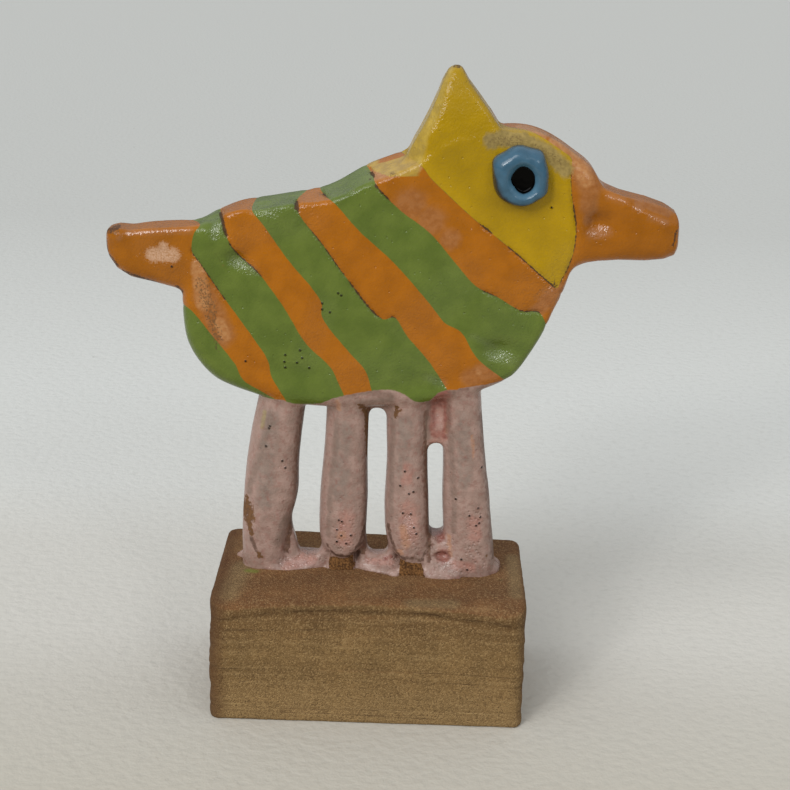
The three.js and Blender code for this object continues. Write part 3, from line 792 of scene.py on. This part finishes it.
# pinholes that show, each (x, z)
pinholes = [
    (-12.4, 66.8), (-10.6, 64.8), (-8.1, 68.8), (-8.8, 69.3), (-12.4, 65.4), (-20.7, 54.3), (-17.3, 55.6),
    (-18, 52.5), (-20.9, 52.6), (-15.2, 51.3), (-20.7, 51.2), (-16.8, 53.7), (-21.4, 27.8), (-20.7, 26),
    (-24.3, 36.4), (-24.5, 35.9), (-25.2, 31.4), (-7.9, 13.3), (-7.2, 13), (-8.3, 10.9), (-7.3, 9.4),
    (-8.3, 7.8), (-6.1, 7.4), (-5, 9.5), (7.4, 26.2), (10.5, 24.5), (6.4, 22.6), (9.5, 21.2), (8.5, 20.7),
    (7.2, 15.8), (9.1, 15.6), (9.9, 12.3), (10.5, 10.8), (24.9, 17.4), (22.9, 15.5), (25.5, 15.1),
    (25.3, 13.6), (24.6, 13), (21.4, 4.4), (22.9, 1.8), (19.6, 19.5), (25.4, 27.3), (29, 92.7),
    (38.2, 90.3), (-29.8, 52.5), (-46.4, 74.2),
]
# dealt out in sets, so that neighbours in one set stay well apart
holeSets = [[], [], []]
for hole in pinholes:
    for chosen in holeSets:
        if all(math.dist(hole, other) > 2.6 for other in chosen):
            chosen.append(hole)
            break

print("figure: shaping the clay")
points, faces = surfaceOf(dogField, *figureBox, figureVoxel)
# the fold depth paints shade into the hollows between the legs and at the belly joint
fold, edge = creases(dogField, points, 1.5)[:2]
x, y, z = points.T
seenX, seenZ = seenFrom(x, y, z)
frontSide = smoothStep(9.5, 7, y)     # wear and painted shade are only on the side that shows
facing = smoothStep(4.5, 2.5, y)
layers = {
    "orange": readMap(orangeMap, seenX, seenZ),
    "yellow": readMap(yellowMap, seenX, seenZ),
    "pink": -readMap(lineOf["pinkTop"], x, z),
    "seam": readMap(seamMap, seenX, seenZ),
    "seamHalf": readMap(seamHalfMap, seenX, seenZ) - 3 * (1 - frontSide),
    "earBand": np.where((z > 96) & (x < 26), readMap(ear["bevelMap"], x, z), -9) - 9 * (1 - frontSide),
    "fold": fold,
    "edge": edge,
}
for name, spots in wearAndShade.items():
    layers[name] = softSpots(spots, seenX, seenZ) * frontSide
for name, spots in legWearAndShade.items():
    layers[name] = softSpots(spots, x, z) * smoothStep(7.5, 5.5, y)
legSide = np.zeros(len(points))     # from -1 on each leg's left side to 1 on its right
layers["stub"] = np.zeros(len(points))
for leg in legs["row"]:
    midX, width = (np.interp(z, leg["track"][:, 0], leg["track"][:, k]) for k in (1, 2))
    u = (x - midX) / width * 2
    onLeg = (np.abs(u) < 1.15) & (z > 3)
    legSide[onLeg] = (np.clip(u, -1, 1) * smoothStep(42.5, 40.5, z))[onLeg]
    if "stub" in leg:
        stub = leg["stub"]
        ragged = 0.5 * latticeNoise(points, 1.7, 5)
        near = smoothStep(0.1, -0.4, besideStub(stub, x, z) + ragged)
        low = smoothStep(stub["end"] + 0.3, stub["end"] - 0.5, z - 0.09 * (x - stub["midX"]) ** 2 + ragged)
        layers["stub"] = np.maximum(layers["stub"], near * low * smoothStep(4.5, 3.5, y))
# painted light and shade: each leg's left side, which faces the key lamp, is painted lighter; its right side
# is painted darker, for the thin glaze on its arris and for shade
layers["darkSide"] = legSide
layers["lightSide"] = -legSide
for k, chosen in enumerate(holeSets):
    offset = points[:, None, [0, 2]] - np.array(chosen)[None]
    nearest = np.linalg.norm(offset, axis=2).argmin(axis=1)
    offset = offset[np.arange(len(points)), nearest]
    away = np.maximum(np.linalg.norm(offset, axis=1) - 0.7, 0) * 3 + 4 * (1 - facing)
    layers["holes" + str(k)] = np.column_stack([offset[:, 0], away, offset[:, 1]])
points[:, 2] += plinthTop
dog = meshPiece("dog_glazed", points, faces, layers)
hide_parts("dog")


# Brushed majolica glaze over red clay: opaque colours with a thick glossy skin, broken by pinholes and thin
# places where the clay shows, with painted light and shade laid over it in places.
glaze = {
    "green": ("#69792f", "#5c6d27"),
    "gloss": 0.2,
    "hole": ("#1c120c", 0.27, 0.25),       # colour, radius, how deep its edge is sunk
    # burst bubbles: spacing, inner and outer reach as shares of it, depth; foam is on bubbly places alone
    "bubbles": (2.1, 0.03, 0.13, 0.11),
    "foam": (1.0, 0.1, 0.4, 0.16),
    "peel": (1.5, 0.12),                  # orange peel: size, height
    "sparkle": (0.5, 0.11, 0.2),          # fine grain: size, height, height added where it has a sheen
    "specular": (0.33, 1.0),              # dry and wet
    "thickness": 0.86,                    # how dark the painted shade patches go
    # mark: edge low and high, wander and its size, two colours, mottle size, roughness, cover
    "coats": {
        "orange": (-0.06, 0.08, 0.12, 2.2, "#b26905", "#a66101", 5, 0.2, 1),
        "yellow": (-0.06, 0.08, 0.12, 2.2, "#ba9400", "#af8b00", 7, 0.2, 1),
        "thin": (0.15, 0.85, 0.3, 1.6, "#aa7040", "#9d6232", 1.2, 0.24, 0.75),
        "peach": (0.2, 0.8, 0.35, 1.1, "#bf8854", "#b37743", 1.0, 0.26, 0.9),
        "earBand": (-0.2, 0.6, 0.3, 1.5, "#c3a548", "#ad9244", 1.8, 0.24, 0.8),
        "edge": (0.5, 0.95, 0.15, 1.3, "#7c5a2a", "#8f6a30", 1.5, 0.4, 0.4),
        "brow": (0.2, 0.75, 0.4, 0.8, "#a48c50", "#917b45", 0.9, 0.7, 0.95),
        "browSpecks": (0.95, 1.2, 0.9, 0.36, "#6a552f", "#7a6338", 0.7, 0.8, 0.65),
        "blister": (0.5, 0.85, 0.8, 0.36, "#e3b896", "#c48f62", 0.36, 0.45, 0.95),
        "worn": (0.9, 1.15, 0.9, 0.36, "#644726", "#785833", 0.7, 0.6, 0.75),
        "seam": (-0.07, 0.07, 0.36, 0.7, "#3a2716", "#4d3420", 0.8, 0.8, 0.9),
        "burnt": (0.6, 0.95, 0.9, 0.7, "#3e2b1c", "#5a3d28", 0.7, 0.6, 0.9),
        "pink": (-0.12, 0.15, 0.5, 2.2, "#ae9084", "#9b8074", 2.4, 0.28, 1),
    },
    # the same, on the pink legs alone: stains and smears, with painted light on each leg's lit left side,
    # painted shade in hollows, creases, outlines and under the belly, and thin glaze with painted shade on
    # each leg's right side
    "stains": {
        "grey": (0.2, 1.2, 0.9, 1.7, "#908176", "#817268", 1.4, 0.36, 0.7),
        # painted light on each leg's lit left side
        "lightSide": (0.35, 0.75, 0.3, 1.6, "#b3958a", "#a68a7f", 1.5, 0.34, 0.6),
        "rosy": (0.1, 1.1, 0.9, 1.2, "#c0897a", "#b17f72", 0.8, 0.24, 0.6),
        "orangeSmear": (0.3, 1.0, 0.7, 0.8, "#c98f66", "#bc845c", 0.8, 0.4, 0.5),
        "oliveSmear": (0.3, 0.9, 0.4, 1.2, "#a99b66", "#9d8e5e", 1, 0.4, 0.6),
        "shade": (0.3, 1.0, 0.7, 1.0, "#7c6356", "#6a5143", 0.9, 0.4, 0.6),
        # painted shade in the hollows
        "fold": (0.3, 0.95, 0.2, 1.1, "#5d4335", "#6f5141", 0.8, 0.45, 0.6),
        # thin glaze on each leg's right arris, with painted shade on that side
        "darkSide": (0.8, 0.98, 0.16, 1.1, "#5c4233", "#70523e", 0.8, 0.5, 0.9),
        "red": (0.0, 1.1, 0.9, 1.1, "#93574b", "#7f4a3f", 0.9, 0.16, 0.85),
        # painted shade along the arrises and joins
        "crease": (0.1, 1.2, 0.7, 1.6, "#75655a", "#826f62", 0.9, 0.36, 0.6),
        # painted shade around the glaze's lower ends
        "outline": (0.5, 1.0, 0.9, 1.1, "#4f382b", "#644a3b", 0.8, 0.5, 0.8),
        "bare": (0.5, 0.8, 0.9, 0.7, "#5f4025", "#75502d", 0.7, 0.85, 0.95),
        "stub": (0.4, 0.6, 0.3, 0.8, "#4f3319", "#875e34", 0.5, 0.9, 1),
    },
}


def glazeMaterial():
    made, add, place = newMaterial("brushed majolica glaze")
    rows = {**glaze["coats"], **glaze["stains"]}
    sizes = dict.fromkeys(size for row in rows.values() for size in (row[3], row[6]))
    noises = {size: add("TexNoise", {"Vector": place, "Scale": patternScale(size)}) for size in sizes}
    marks = {name: add("Attribute", out="Fac", attribute_name=name)
             for name in (*rows, "seamHalf", "deep", "sheen", "grain", "wet", "bubbly")}
    fromSeam = add("Math", (marks["seam"],), operation="ABSOLUTE")
    marks["seam"] = add("Math", (marks["seamHalf"], fromSeam), operation="SUBTRACT")
    green, darkGreen = glaze["green"]
    colour = layOver(add, green, (add("MapRange", (noises[5], 0.35, 0.65)), darkGreen))
    rough = glaze["gloss"]
    masks = {}
    for name, row in rows.items():
        low, high, wander, wanderSize, first, second, mottle, roughness, cover = row
        value = add("Math", (noises[wanderSize], 2 * wander, marks[name]), operation="MULTIPLY_ADD")
        mask = add("MapRange", (value, low + wander, high + wander, 0.0, cover))
        if name in glaze["stains"]:
            mask = add("Math", (mask, masks["pink"]), operation="MULTIPLY")
        if name in ("thin", "peach"):
            mask = add("Math", (mask, masks["orange"]), operation="MULTIPLY")
        masks[name] = mask
        mottled = layOver(add, first, (add("MapRange", (noises[mottle], 0.38, 0.62)), second))
        colour = layOver(add, colour, (mask, mottled))
        rough = add("Mix", {0: mask, 2: rough, 3: roughness})
    # pinholes burst through to dark clay
    hole = 9.0
    for k in range(len(holeSets)):
        offset = add("Attribute", out="Vector", attribute_name="holes" + str(k))
        away = add("VectorMath", (offset,), "Value", operation="LENGTH")
        hole = add("Math", (hole, away), operation="MINIMUM")
    holeColour, radius, sunk = glaze["hole"]
    colour = layOver(add, colour, (add("MapRange", (hole, radius, 0.6 * radius)), holeColour))
    # painted shade: the marked patches are darkened
    thick = add("MapRange", (marks["deep"], 0.2, 1.0, 1.0, glaze["thickness"]))
    colour = add("HueSaturation", {"Color": colour, "Value": thick})
    # glossier where the glaze ran thick, with a finer ripple that breaks the light into sparks
    sparks = add("Math", (marks["grain"], 0.4), operation="MULTIPLY")
    sheen = add("Math", (marks["sheen"], sparks), operation="MAXIMUM")
    wet = add("Math", (add("Math", (sheen, 0.6), operation="MULTIPLY"), marks["wet"]), operation="MAXIMUM")
    # skin: burst bubbles, orange peel, the fine grain and the edges of the pinholes
    size, height, more = glaze["sparkle"]
    fine = add("TexNoise", {"Vector": place, "Scale": patternScale(size), "Detail": 1.0})
    ripple = add("Math", (sheen, more, height), operation="MULTIPLY_ADD")
    relief = [(fine, ripple), (add("MapRange", (hole, 0.6 * radius, 1.6 * radius, -sunk, 0.0)), 1.0)]
    size, height = glaze["peel"]
    relief.append((add("TexNoise", {"Vector": place, "Scale": patternScale(size)}), height))
    for kind, share in (("bubbles", 1.0), ("foam", marks["bubbly"])):
        size, inner, outer, depth = glaze[kind]
        cell = add("TexVoronoi", {"Vector": place, "Scale": patternScale(size)}, "Distance")
        relief.append((add("MapRange", (cell, inner, outer, -depth, 0.0)), share))
    skin = 0.0
    for height, share in relief:
        skin = add("Math", (height, share, skin), operation="MULTIPLY_ADD")
    return finishMaterial(made, skin, 1.0, {
        "Base Color": colour, "Roughness": rough,
        "Specular IOR Level": add("MapRange", (wet, 0.0, 1.0, *glaze["specular"]))})


dog.data.materials.append(glazeMaterial())


# Bead eyes: a lumpy ring of clay with a hole poked in it. Corners and hole radii are (angle, millimetres).
eye = {
    "midX": 31.0, "midZ": 97.5, "holeX": 0.4, "holeZ": -0.6, "height": 4.0, "sunk": 0.6, "crest": 0.33,
    "radius": 6.15, "pitDepth": 3.0,
    "slope": 1.3,          # how far the ring falls from its crest to the hole
    "corners": [
        (152, 0.8, 17), (98, 0.35, 22), (50, 0.75, 15), (-33, 0.75, 16), (-85, 0.7, 40), (-135, 0.5, 25),
    ],
    "hole": [
        (0, 2.6), (45, 2.7), (95, 2.9), (140, 2.5), (180, 2.6), (225, 2.4), (275, 3.2), (310, 3.0),
        (360, 2.6),
    ],
    # colours: three blues, painted shade for the lower rim, and the hole
    "glaze": ("#41677e", "#375b70", "#4f768d", "#241d14", "#030202"),
}


def eyeMesh(name, node, baseY, outward):
    turns, steps = 144, 60
    angle = np.linspace(0, 360, turns, endpoint=False)
    rim = np.full(turns, eye["radius"])
    for at, swell, spread in eye["corners"]:
        off = (angle - at + 180) % 360 - 180
        rim += swell * np.exp(-(off / spread) ** 2)
    hole = np.interp(angle, *zip(*eye["hole"]))
    t = np.linspace(0, 1, steps)[:, None]
    # profile: half of the steps over the crest, then into the hole, down its wall and across its floor
    crest = hole + (rim - hole) * eye["crest"]
    over = np.clip(t / 0.5, 0, 1) * math.pi / 2
    inner = np.clip((t - 0.5) / 0.3, 0, 1) * math.pi / 2
    down = np.clip((t - 0.8) / 0.1, 0, 1)
    floor = np.clip((t - 0.9) / 0.1, 0, 1)
    radius = crest + (rim - crest) * np.cos(over) ** 0.75 - (crest - hole) * (1 - np.cos(inner)) ** 0.8
    radius = radius * (1 - floor)
    height = (eye["height"] + eye["sunk"]) * np.sin(over) ** 0.8
    height = height - eye["slope"] * (1 - np.cos(inner)) ** 1.2
    height = height - (eye["pitDepth"] - eye["slope"]) * down - 0.25 * floor
    cosine, sine = np.cos(np.radians(angle)), np.sin(np.radians(angle))
    shift = np.clip((t - 0.1) / 0.4, 0, 1)
    x = eye["midX"] + shift * eye["holeX"] + radius * cosine
    z = eye["midZ"] + shift * eye["holeZ"] + radius * sine
    y = np.broadcast_to(baseY + outward * (height - eye["sunk"]), x.shape)
    points = np.stack([x, y, z], axis=2).reshape(-1, 3)[:(steps - 1) * turns]
    lumps = 0.16 * latticeNoise(points, 3.1, 11) + 0.05 * latticeNoise(points, 1.1, 12)
    depth = np.repeat(np.arange(steps - 1), turns) / steps
    points[:, 1] += outward * lumps * smoothStep(0.05, 0.2, depth) * smoothStep(0.95, 0.6, depth)
    middle = [eye["midX"] + eye["holeX"], baseY + outward * (height[-1].mean() - eye["sunk"]),
              eye["midZ"] + eye["holeZ"]]
    behind = [eye["midX"], baseY - outward * eye["sunk"], eye["midZ"]]
    points = np.vstack([points, middle, behind])
    points[:, 2] += plinthTop
    faces = []
    for ring in range(steps - 2):
        for k in range(turns):
            a, b = ring * turns + k, ring * turns + (k + 1) % turns
            faces.append((a, b, b + turns, a + turns))
    last = (steps - 2) * turns
    for k in range(turns):
        faces.append((last + k, last + (k + 1) % turns, len(points) - 2))
        faces.append(((k + 1) % turns, k, len(points) - 1))
    if outward > 0:
        faces = [f[::-1] for f in faces]
    inPit = np.concatenate([smoothStep(0.74, 0.84, depth), [1, 0]])
    nearHole = np.concatenate([smoothStep(0.5, 0.72, depth), [1, 0]])
    # painted shade: the bead's lower left rim, where it turns down to the face, is darkened
    foot = np.tile(smoothStep(0.4, -0.7, sine + 0.35 * cosine), steps - 1)
    shadedLowerRim = np.concatenate([smoothStep(0.1 + 0.46 * foot, 0.06, depth) * (0.5 + 0.75 * foot), [0, 1]])
    piece = meshPiece(name, points, faces, {"inPit": inPit, "nearHole": nearHole, "rim": shadedLowerRim})
    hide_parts(node)
    return piece


def eyeMaterial():
    # Glossy blue glaze over clay: even and opaque, with painted shade darkening the lower left of the bead's
    # rim, black in the hole
    made, add, place = newMaterial("blue dipped glaze")
    inPit, nearHole, rim = (add("Attribute", out="Fac", attribute_name=name)
                            for name in ("inPit", "nearHole", "rim"))
    mottle, wander, peel = (add("TexNoise", {"Vector": place, "Scale": patternScale(size), "Detail": detail})
                            for size, detail in ((2.5, 2.0), (1.2, 2.0), (1.2, 1.0)))
    first, second, third, foot, pit = eye["glaze"]
    rim = add("Math", (wander, 0.5, rim), operation="MULTIPLY_ADD")
    # the fourth colour is painted shade on the lower rim
    colour = layOver(add, first, (add("MapRange", (mottle, 0.35, 0.65)), second), (nearHole, third),
                     (add("MapRange", (rim, 0.55, 1.1, 0.0, 0.85)), foot), (inPit, pit))
    return finishMaterial(made, peel, 0.06, {
        "Base Color": colour, "Roughness": 0.2,
        "Specular IOR Level": add("MapRange", (inPit, 0.0, 1.0, 0.45, 0.08))})


print("eyes: pressing the beads")
eyeGlaze = eyeMaterial()
for node, baseY, outward in (("eye_right", -1.3, -1), ("eye_left", 13.3, 1)):
    eyeMesh(node + "_bead", node, baseY, outward).data.materials.append(eyeGlaze)


# Plinth: a block cut from the lump with a wire, with a burr along its top front edge
plinth = {
    "corners": [(36.6, 23.2), (-36.8, 25.6), (-36.9, -20.8), (36.6, -20.9)],
    "skin": 0.12,          # how far the uneven surface stays inside the solid
    "cornerRadius": 2.6, "shoulderRadius": 7, "topEdge": 0.9, "footEdge": 0.6, "waist": 0.12,
    "scoop": 4.0, "scoopPower": 1.8,     # how far the wire bowed into the front's upper middle
    "lip": 0.3, "lipHeight": 28.1, "lipDrop": 1.9,
    "wireLines": [(21.9, 0.14), (13.4, 0.12), (3.4, 0.2), (17.2, 0.07), (8.6, 0.06)],
    # height, from x, to x, 1 for a light line
    "scratches": [(3.7, -35, 35, 1), (11.0, 18, 36, 0), (12.6, -36, -24, 0), (22.3, -33, -6, 0)],
    "holes": [(30.6, -1.5, 29, 0.55), (29.6, -20.8, 6.5, 0.45), (-12, -20, 19, 0.4), (10, -20.6, 9, 0.35)],
    "front": ("#8c6e44", "#7c613b"), "top": ("#845b36", "#724d2e"), "light": "#b8996a", "dark": "#563f26",
    # mark: colour and cover, under and over the sand
    "stains": {"upperFront": ("#5f4124", 0.6), "lowerFront": ("#a5885c", 0.4), "pale": ("#8f7d58", 0.5)},
    # over the sand: dirt, painted shade in the hollows, and a painted shadow line under the lip
    "dirtAndShade": {"ends": ("#54331b", 0.7), "fold": ("#3c2a19", 0.6), "burr": ("#422b15", 0.7),
             "green": ("#7d8438", 0.8), "edge": ("#a0835a", 0.25)},
    "sand": 0.31,          # the coarsest grains, in mm
}
corners = np.array(plinth["corners"])


def fromMiddle(x):
    return np.minimum(np.abs(x) / corners[0][0], 1)


def lipLine(x):
    # the front's top edge droops toward both ends
    return plinth["lipHeight"] - plinth["lipDrop"] * fromMiddle(x) ** 2 + 0.35 * noiseAlong(x, 7, 23)


def plinthField(p):
    x, y, z = p[:, 0], p[:, 1], p[:, 2]
    sides = []
    for a, b in zip(corners, np.roll(corners, -1, axis=0)):
        along = (b - a) / np.linalg.norm(b - a)
        sides.append((x - a[0]) * along[1] - (y - a[1]) * along[0] + plinth["skin"])
    backSide, leftSide, frontSide, rightSide = sides
    across = fromMiddle(x)
    high = np.clip(z / plinthTop, 0, 1)
    frontSide = frontSide + plinth["scoop"] * (1 - across ** 2) * high ** plinth["scoopPower"]
    # drag lines of the wire on the sides
    frontFace = smoothStep(-3, 0.5, frontSide) * smoothStep(34.5, 32, np.abs(x))
    sideRelief = 0.07 * latticeNoise(np.column_stack([x / 26, y / 26, z / 0.9]), 1, 21)
    for height, depth in plinth["wireLines"]:
        wander = z - height - 0.004 * x - 0.25 * noiseAlong(x, 9, 22, height)
        sideRelief = sideRelief + depth * np.exp(-(wander / 0.45) ** 2)
    # the torn lip along the front's top edge, with a hollow under it
    lipAt = lipLine(x)
    torn = 0.7 + 0.45 * noiseAlong(x, 3, 24)
    lip = np.exp(-((z - lipAt) / 0.7) ** 2) * torn
    under = np.exp(-((z - lipAt + 1.6) / 0.8) ** 2) * torn
    sideRelief = sideRelief + frontFace * (0.2 - plinth["lip"] * lip + 0.5 * under)
    waist = plinth["waist"] * np.sin(high * math.pi)
    shoulder = (plinth["shoulderRadius"] - plinth["cornerRadius"]) * high ** 3 * smoothStep(4, -4, y)
    radius = plinth["cornerRadius"] + shoulder
    beside = roundCorner(np.maximum(leftSide, rightSide), np.maximum(backSide, frontSide), radius)
    beside = beside + waist + sideRelief
    # the top dips toward the front, most at its ends
    dip = 0.3 + 1.3 * across ** 2
    top = z - plinthTop + plinth["skin"] * 0.5 + dip * np.exp(np.minimum(frontSide + 0.4, 0) / 2.0)
    top = top + 0.12 * latticeNoise(p, 9, 25)
    block = roundCorner(beside, top, plinth["topEdge"] * (1 - 0.6 * frontFace))
    block = block + 0.05 * latticeNoise(p, 1.3, 26) + 0.1 * latticeNoise(p, 6, 27)
    ragged = smoothStep(34, 36, np.abs(x)) * smoothStep(-12, -18, y)
    block = block + ragged * (0.1 + 0.22 * latticeNoise(p, 1.6, 29))
    for hx, hy, hz, radius in plinth["holes"]:
        block = np.maximum(block, radius - np.sqrt((x - hx) ** 2 + (y - hy) ** 2 + (z - hz) ** 2))
    return roundCorner(block, -z, plinth["footEdge"])


plinthBox = ((-38, -22, -1.2), (38, 27, 30.6))     # a little wider than the block
plinthVoxel = 0.62
print("plinth: cutting the block")
points, faces = surfaceOf(plinthField, *plinthBox, plinthVoxel)
# the fold depth paints shade into the plinth's hollows
fold, edge, normal = creases(plinthField, points, 1.2)
x, y, z = points.T
upper = smoothStep(0.25, 0.8, normal[:, 2])
# painted shadow: a dark line just under the torn lip
burr = np.exp(-((z - lipLine(x) + 1.0) / 0.32) ** 2) * smoothStep(-14, -16, y)
paleSpots = [(10, -15.2, 19, -15, 2.4), (-33, -14, -31, 2, 3.5), (34.5, -10, 34.5, 12, 2.2)]
# a few lines scratched by the wire: signed distance to the nearest, and whether it is a light one
wire = np.full(len(points), 9.0)
wireLight = np.zeros(len(points))
for height, fromX, toX, light in plinth["scratches"]:
    off = z - height + 0.012 * x - 0.12 * noiseAlong(x, 6, 28)
    off = off + 9 * np.maximum(smoothStep(fromX, fromX - 1, x), smoothStep(toX, toX + 1, x))
    nearer = (np.abs(off) < np.abs(wire)) & (y < -12)
    wire[nearer] = off[nearer]
    wireLight[nearer] = light
high = z / plinthTop
block = meshPiece("plinth_clay", points, faces, {
    "upper": upper, "fold": fold, "edge": edge, "wire": wire, "wireLight": wireLight,
    "burr": burr * (0.7 + 0.5 * noiseAlong(x, 3, 24)),
    "green": softSpots([(-29.3, -0.8, -27.6, -1.2, 1.1)], x, y) * upper,
    "pale": softSpots(paleSpots, x, y) * upper,
    "ends": np.maximum(smoothStep(-31.5, -36, x), 0.6 * smoothStep(34.5, 36.4, x)),
    "upperFront": smoothStep(0.55, 1.0, high) * (1 - upper), "lowerFront": smoothStep(0.45, 0.02, high),
})
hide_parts("plinth")


def plinthMaterial():
    # Bare grogged stoneware, fired brown: dry and sandy, with pale and dark grains in faint layers, painted
    # shade in its hollows and a painted shadow under the lip
    made, add, place = newMaterial("wire-cut grogged stoneware")
    marks = {name: add("Attribute", out="Fac", attribute_name=name)
             for name in ("upper", "wire", "wireLight", *plinth["stains"], *plinth["dirtAndShade"])}
    flat = add("Mapping", {"Vector": place, "Scale": (0.05, 0.05, 1)})
    cloud, layer, broken = (add("TexNoise", {"Vector": at, "Scale": patternScale(size), "Detail": detail})
                            for at, size, detail in ((place, 9, 4.0), (flat, 1.0, 3.0), (place, 5, 2.0)))
    cloud = add("MapRange", (cloud, 0.35, 0.65))
    front, top = (layOver(add, first, (cloud, second)) for first, second in (plinth["front"], plinth["top"]))
    colour = layOver(add, front, (marks["upper"], top))
    for name, (tint, cover) in plinth["stains"].items():
        colour = layOver(add, colour, (add("Math", (marks[name], cover), operation="MULTIPLY"), tint))
    # layers left by the wire, and sand with each grain of its own tone
    sand = add("TexVoronoi", {"Vector": place, "Scale": patternScale(plinth["sand"])}, "Color")
    for pattern, least, most, cover, tint in (
            (layer, 0.54, 0.72, 0.25, "light"), (layer, 0.46, 0.28, 0.3, "dark"),
            (sand, 0.55, 0.9, 0.45, "light"), (sand, 0.42, 0.12, 0.5, "dark")):
        colour = layOver(add, colour, (add("MapRange", (pattern, least, most, 0.0, cover)), plinth[tint]))
    # dirt, then painted shade in the hollows and the painted shadow under the lip
    for name, (tint, cover) in plinth["dirtAndShade"].items():
        colour = layOver(add, colour, (add("Math", (marks[name], cover), operation="MULTIPLY"), tint))
    line = add("MapRange", (add("Math", (marks["wire"],), operation="ABSOLUTE"), 0.2, 0.04))
    line = add("Math", (line, add("MapRange", (broken, 0.4, 0.6, 0.1, 0.7))), operation="MULTIPLY")
    scratch = layOver(add, plinth["dark"], (marks["wireLight"], plinth["light"]))
    grains = add("Math", (sand.node.outputs["Distance"], -0.8), operation="MULTIPLY")
    return finishMaterial(made, add("Math", (layer, 0.5, grains), operation="MULTIPLY_ADD"), 0.3, {
        "Base Color": layOver(add, colour, (line, scratch)), "Roughness": 0.9, "Specular IOR Level": 0.3})


block.data.materials.append(plinthMaterial())

# Studio: a pale cloth sheet with painted light that brightens it behind the block, soft light, and a key
# from the front left
studio = {
    "floorSize": 6.0,
    # painted light on the cloth: tones from 60 mm in front to 220 mm behind, darker in front and brightest
    # behind the block, with the share of the way where each lies
    "near": {0.0: "#c8c2b4", 0.18: "#ccc7bc", 0.3: "#d5d1c8", 0.5: "#d5d2ca", 0.66: "#dbdad4",
             1.0: "#d9d9d4"},
    # further back the painted light dims to the far tone
    "nearFrom": -0.06, "nearTo": 0.22, "farAt": 0.5, "far": "#c9c9c4",
    "weave": (2.5, "#a9a69e"), "lint": (34, "#6f5f4c"),      # size or spacing in mm, colour
    "sky": ("#5c5e60", "#e8ecf0", 0.8),
    # each lamp: where from, strength, how wide in degrees
    "lamps": {"key": ((-0.46, -0.62, 0.64), 1.1, 34), "glint": ((-0.48, -0.76, 0.42), 0.44, 8),
              "window": ((0.44, -0.73, 0.51), 0.24, 10)},
}


def floorMaterial():
    # Cotton cloth: matte, with painted light that darkens it in front and brightens it behind the block, a
    # faint weave, drawn coarser than real, and a few dark specks of lint
    made, add, place = newMaterial("cotton cloth with painted light")
    depth = add("SeparateXYZ", (place,), 1)
    near = add("ValToRGB", (add("MapRange", (depth, studio["nearFrom"], studio["nearTo"])),))
    stops = near.node.color_ramp.elements
    for k, (at, tint) in enumerate(studio["near"].items()):
        stop = stops[k] if k < 2 else stops.new(at)
        stop.position = at
        stop.color = linear(tint)
    (weaveSize, weaveTint), (lintSpacing, lintTint) = studio["weave"], studio["lint"]
    weave = add("TexNoise", {"Vector": place, "Scale": patternScale(weaveSize), "Detail": 6.0})
    lint = add("TexVoronoi", {"Vector": place, "Scale": patternScale(lintSpacing)}, "Distance")
    colour = layOver(add, near, (add("MapRange", (depth, studio["nearTo"], studio["farAt"])), studio["far"]),
                     (add("MapRange", (weave, 0.5, 0.3, 0.0, 0.12)), weaveTint),
                     (add("MapRange", (lint, 0.02, 0.008, 0.0, 0.7)), lintTint))
    return finishMaterial(made, weave, 0.4, {
        "Base Color": colour, "Roughness": 0.9, "Specular IOR Level": 0.1})


print("studio: laying the cloth and setting the lamps")
half = studio["floorSize"] / 2
floorMesh = bpy.data.meshes.new("floor")
floorCorners = [(-half, -half, 0), (half, -half, 0), (half, half, 0), (-half, half, 0)]
floorMesh.from_pydata(floorCorners, [], [(0, 1, 2, 3)])
floor = bpy.data.objects.new("floor", floorMesh)
bpy.context.scene.collection.objects.link(floor)
floorMesh.materials.append(floorMaterial())

# the room: dim at eye level and in front, bright overhead
low, high, strength = studio["sky"]
world = bpy.data.worlds.new("studio")
bpy.context.scene.world = world
world.use_nodes = True
add = functools.partial(addNode, world.node_tree)
way = add("SeparateXYZ", (add("TexCoord", out="Generated"),), 2)
overhead = layOver(add, low, (add("MapRange", (way, -0.05, 0.55)), high))
plug(world.node_tree, world.node_tree.nodes["Background"], {"Color": overhead, "Strength": strength})

for name, (direction, strength, spread) in studio["lamps"].items():
    lamp = bpy.data.lights.new(name, "SUN")
    lamp.energy = strength
    lamp.angle = math.radians(spread)
    shining = bpy.data.objects.new(name, lamp)
    shining.rotation_mode = "QUATERNION"
    shining.rotation_quaternion = Vector(direction).to_track_quat("Z", "Y")
    bpy.context.scene.collection.objects.link(shining)
bpy.context.scene.view_settings.view_transform = "Standard"
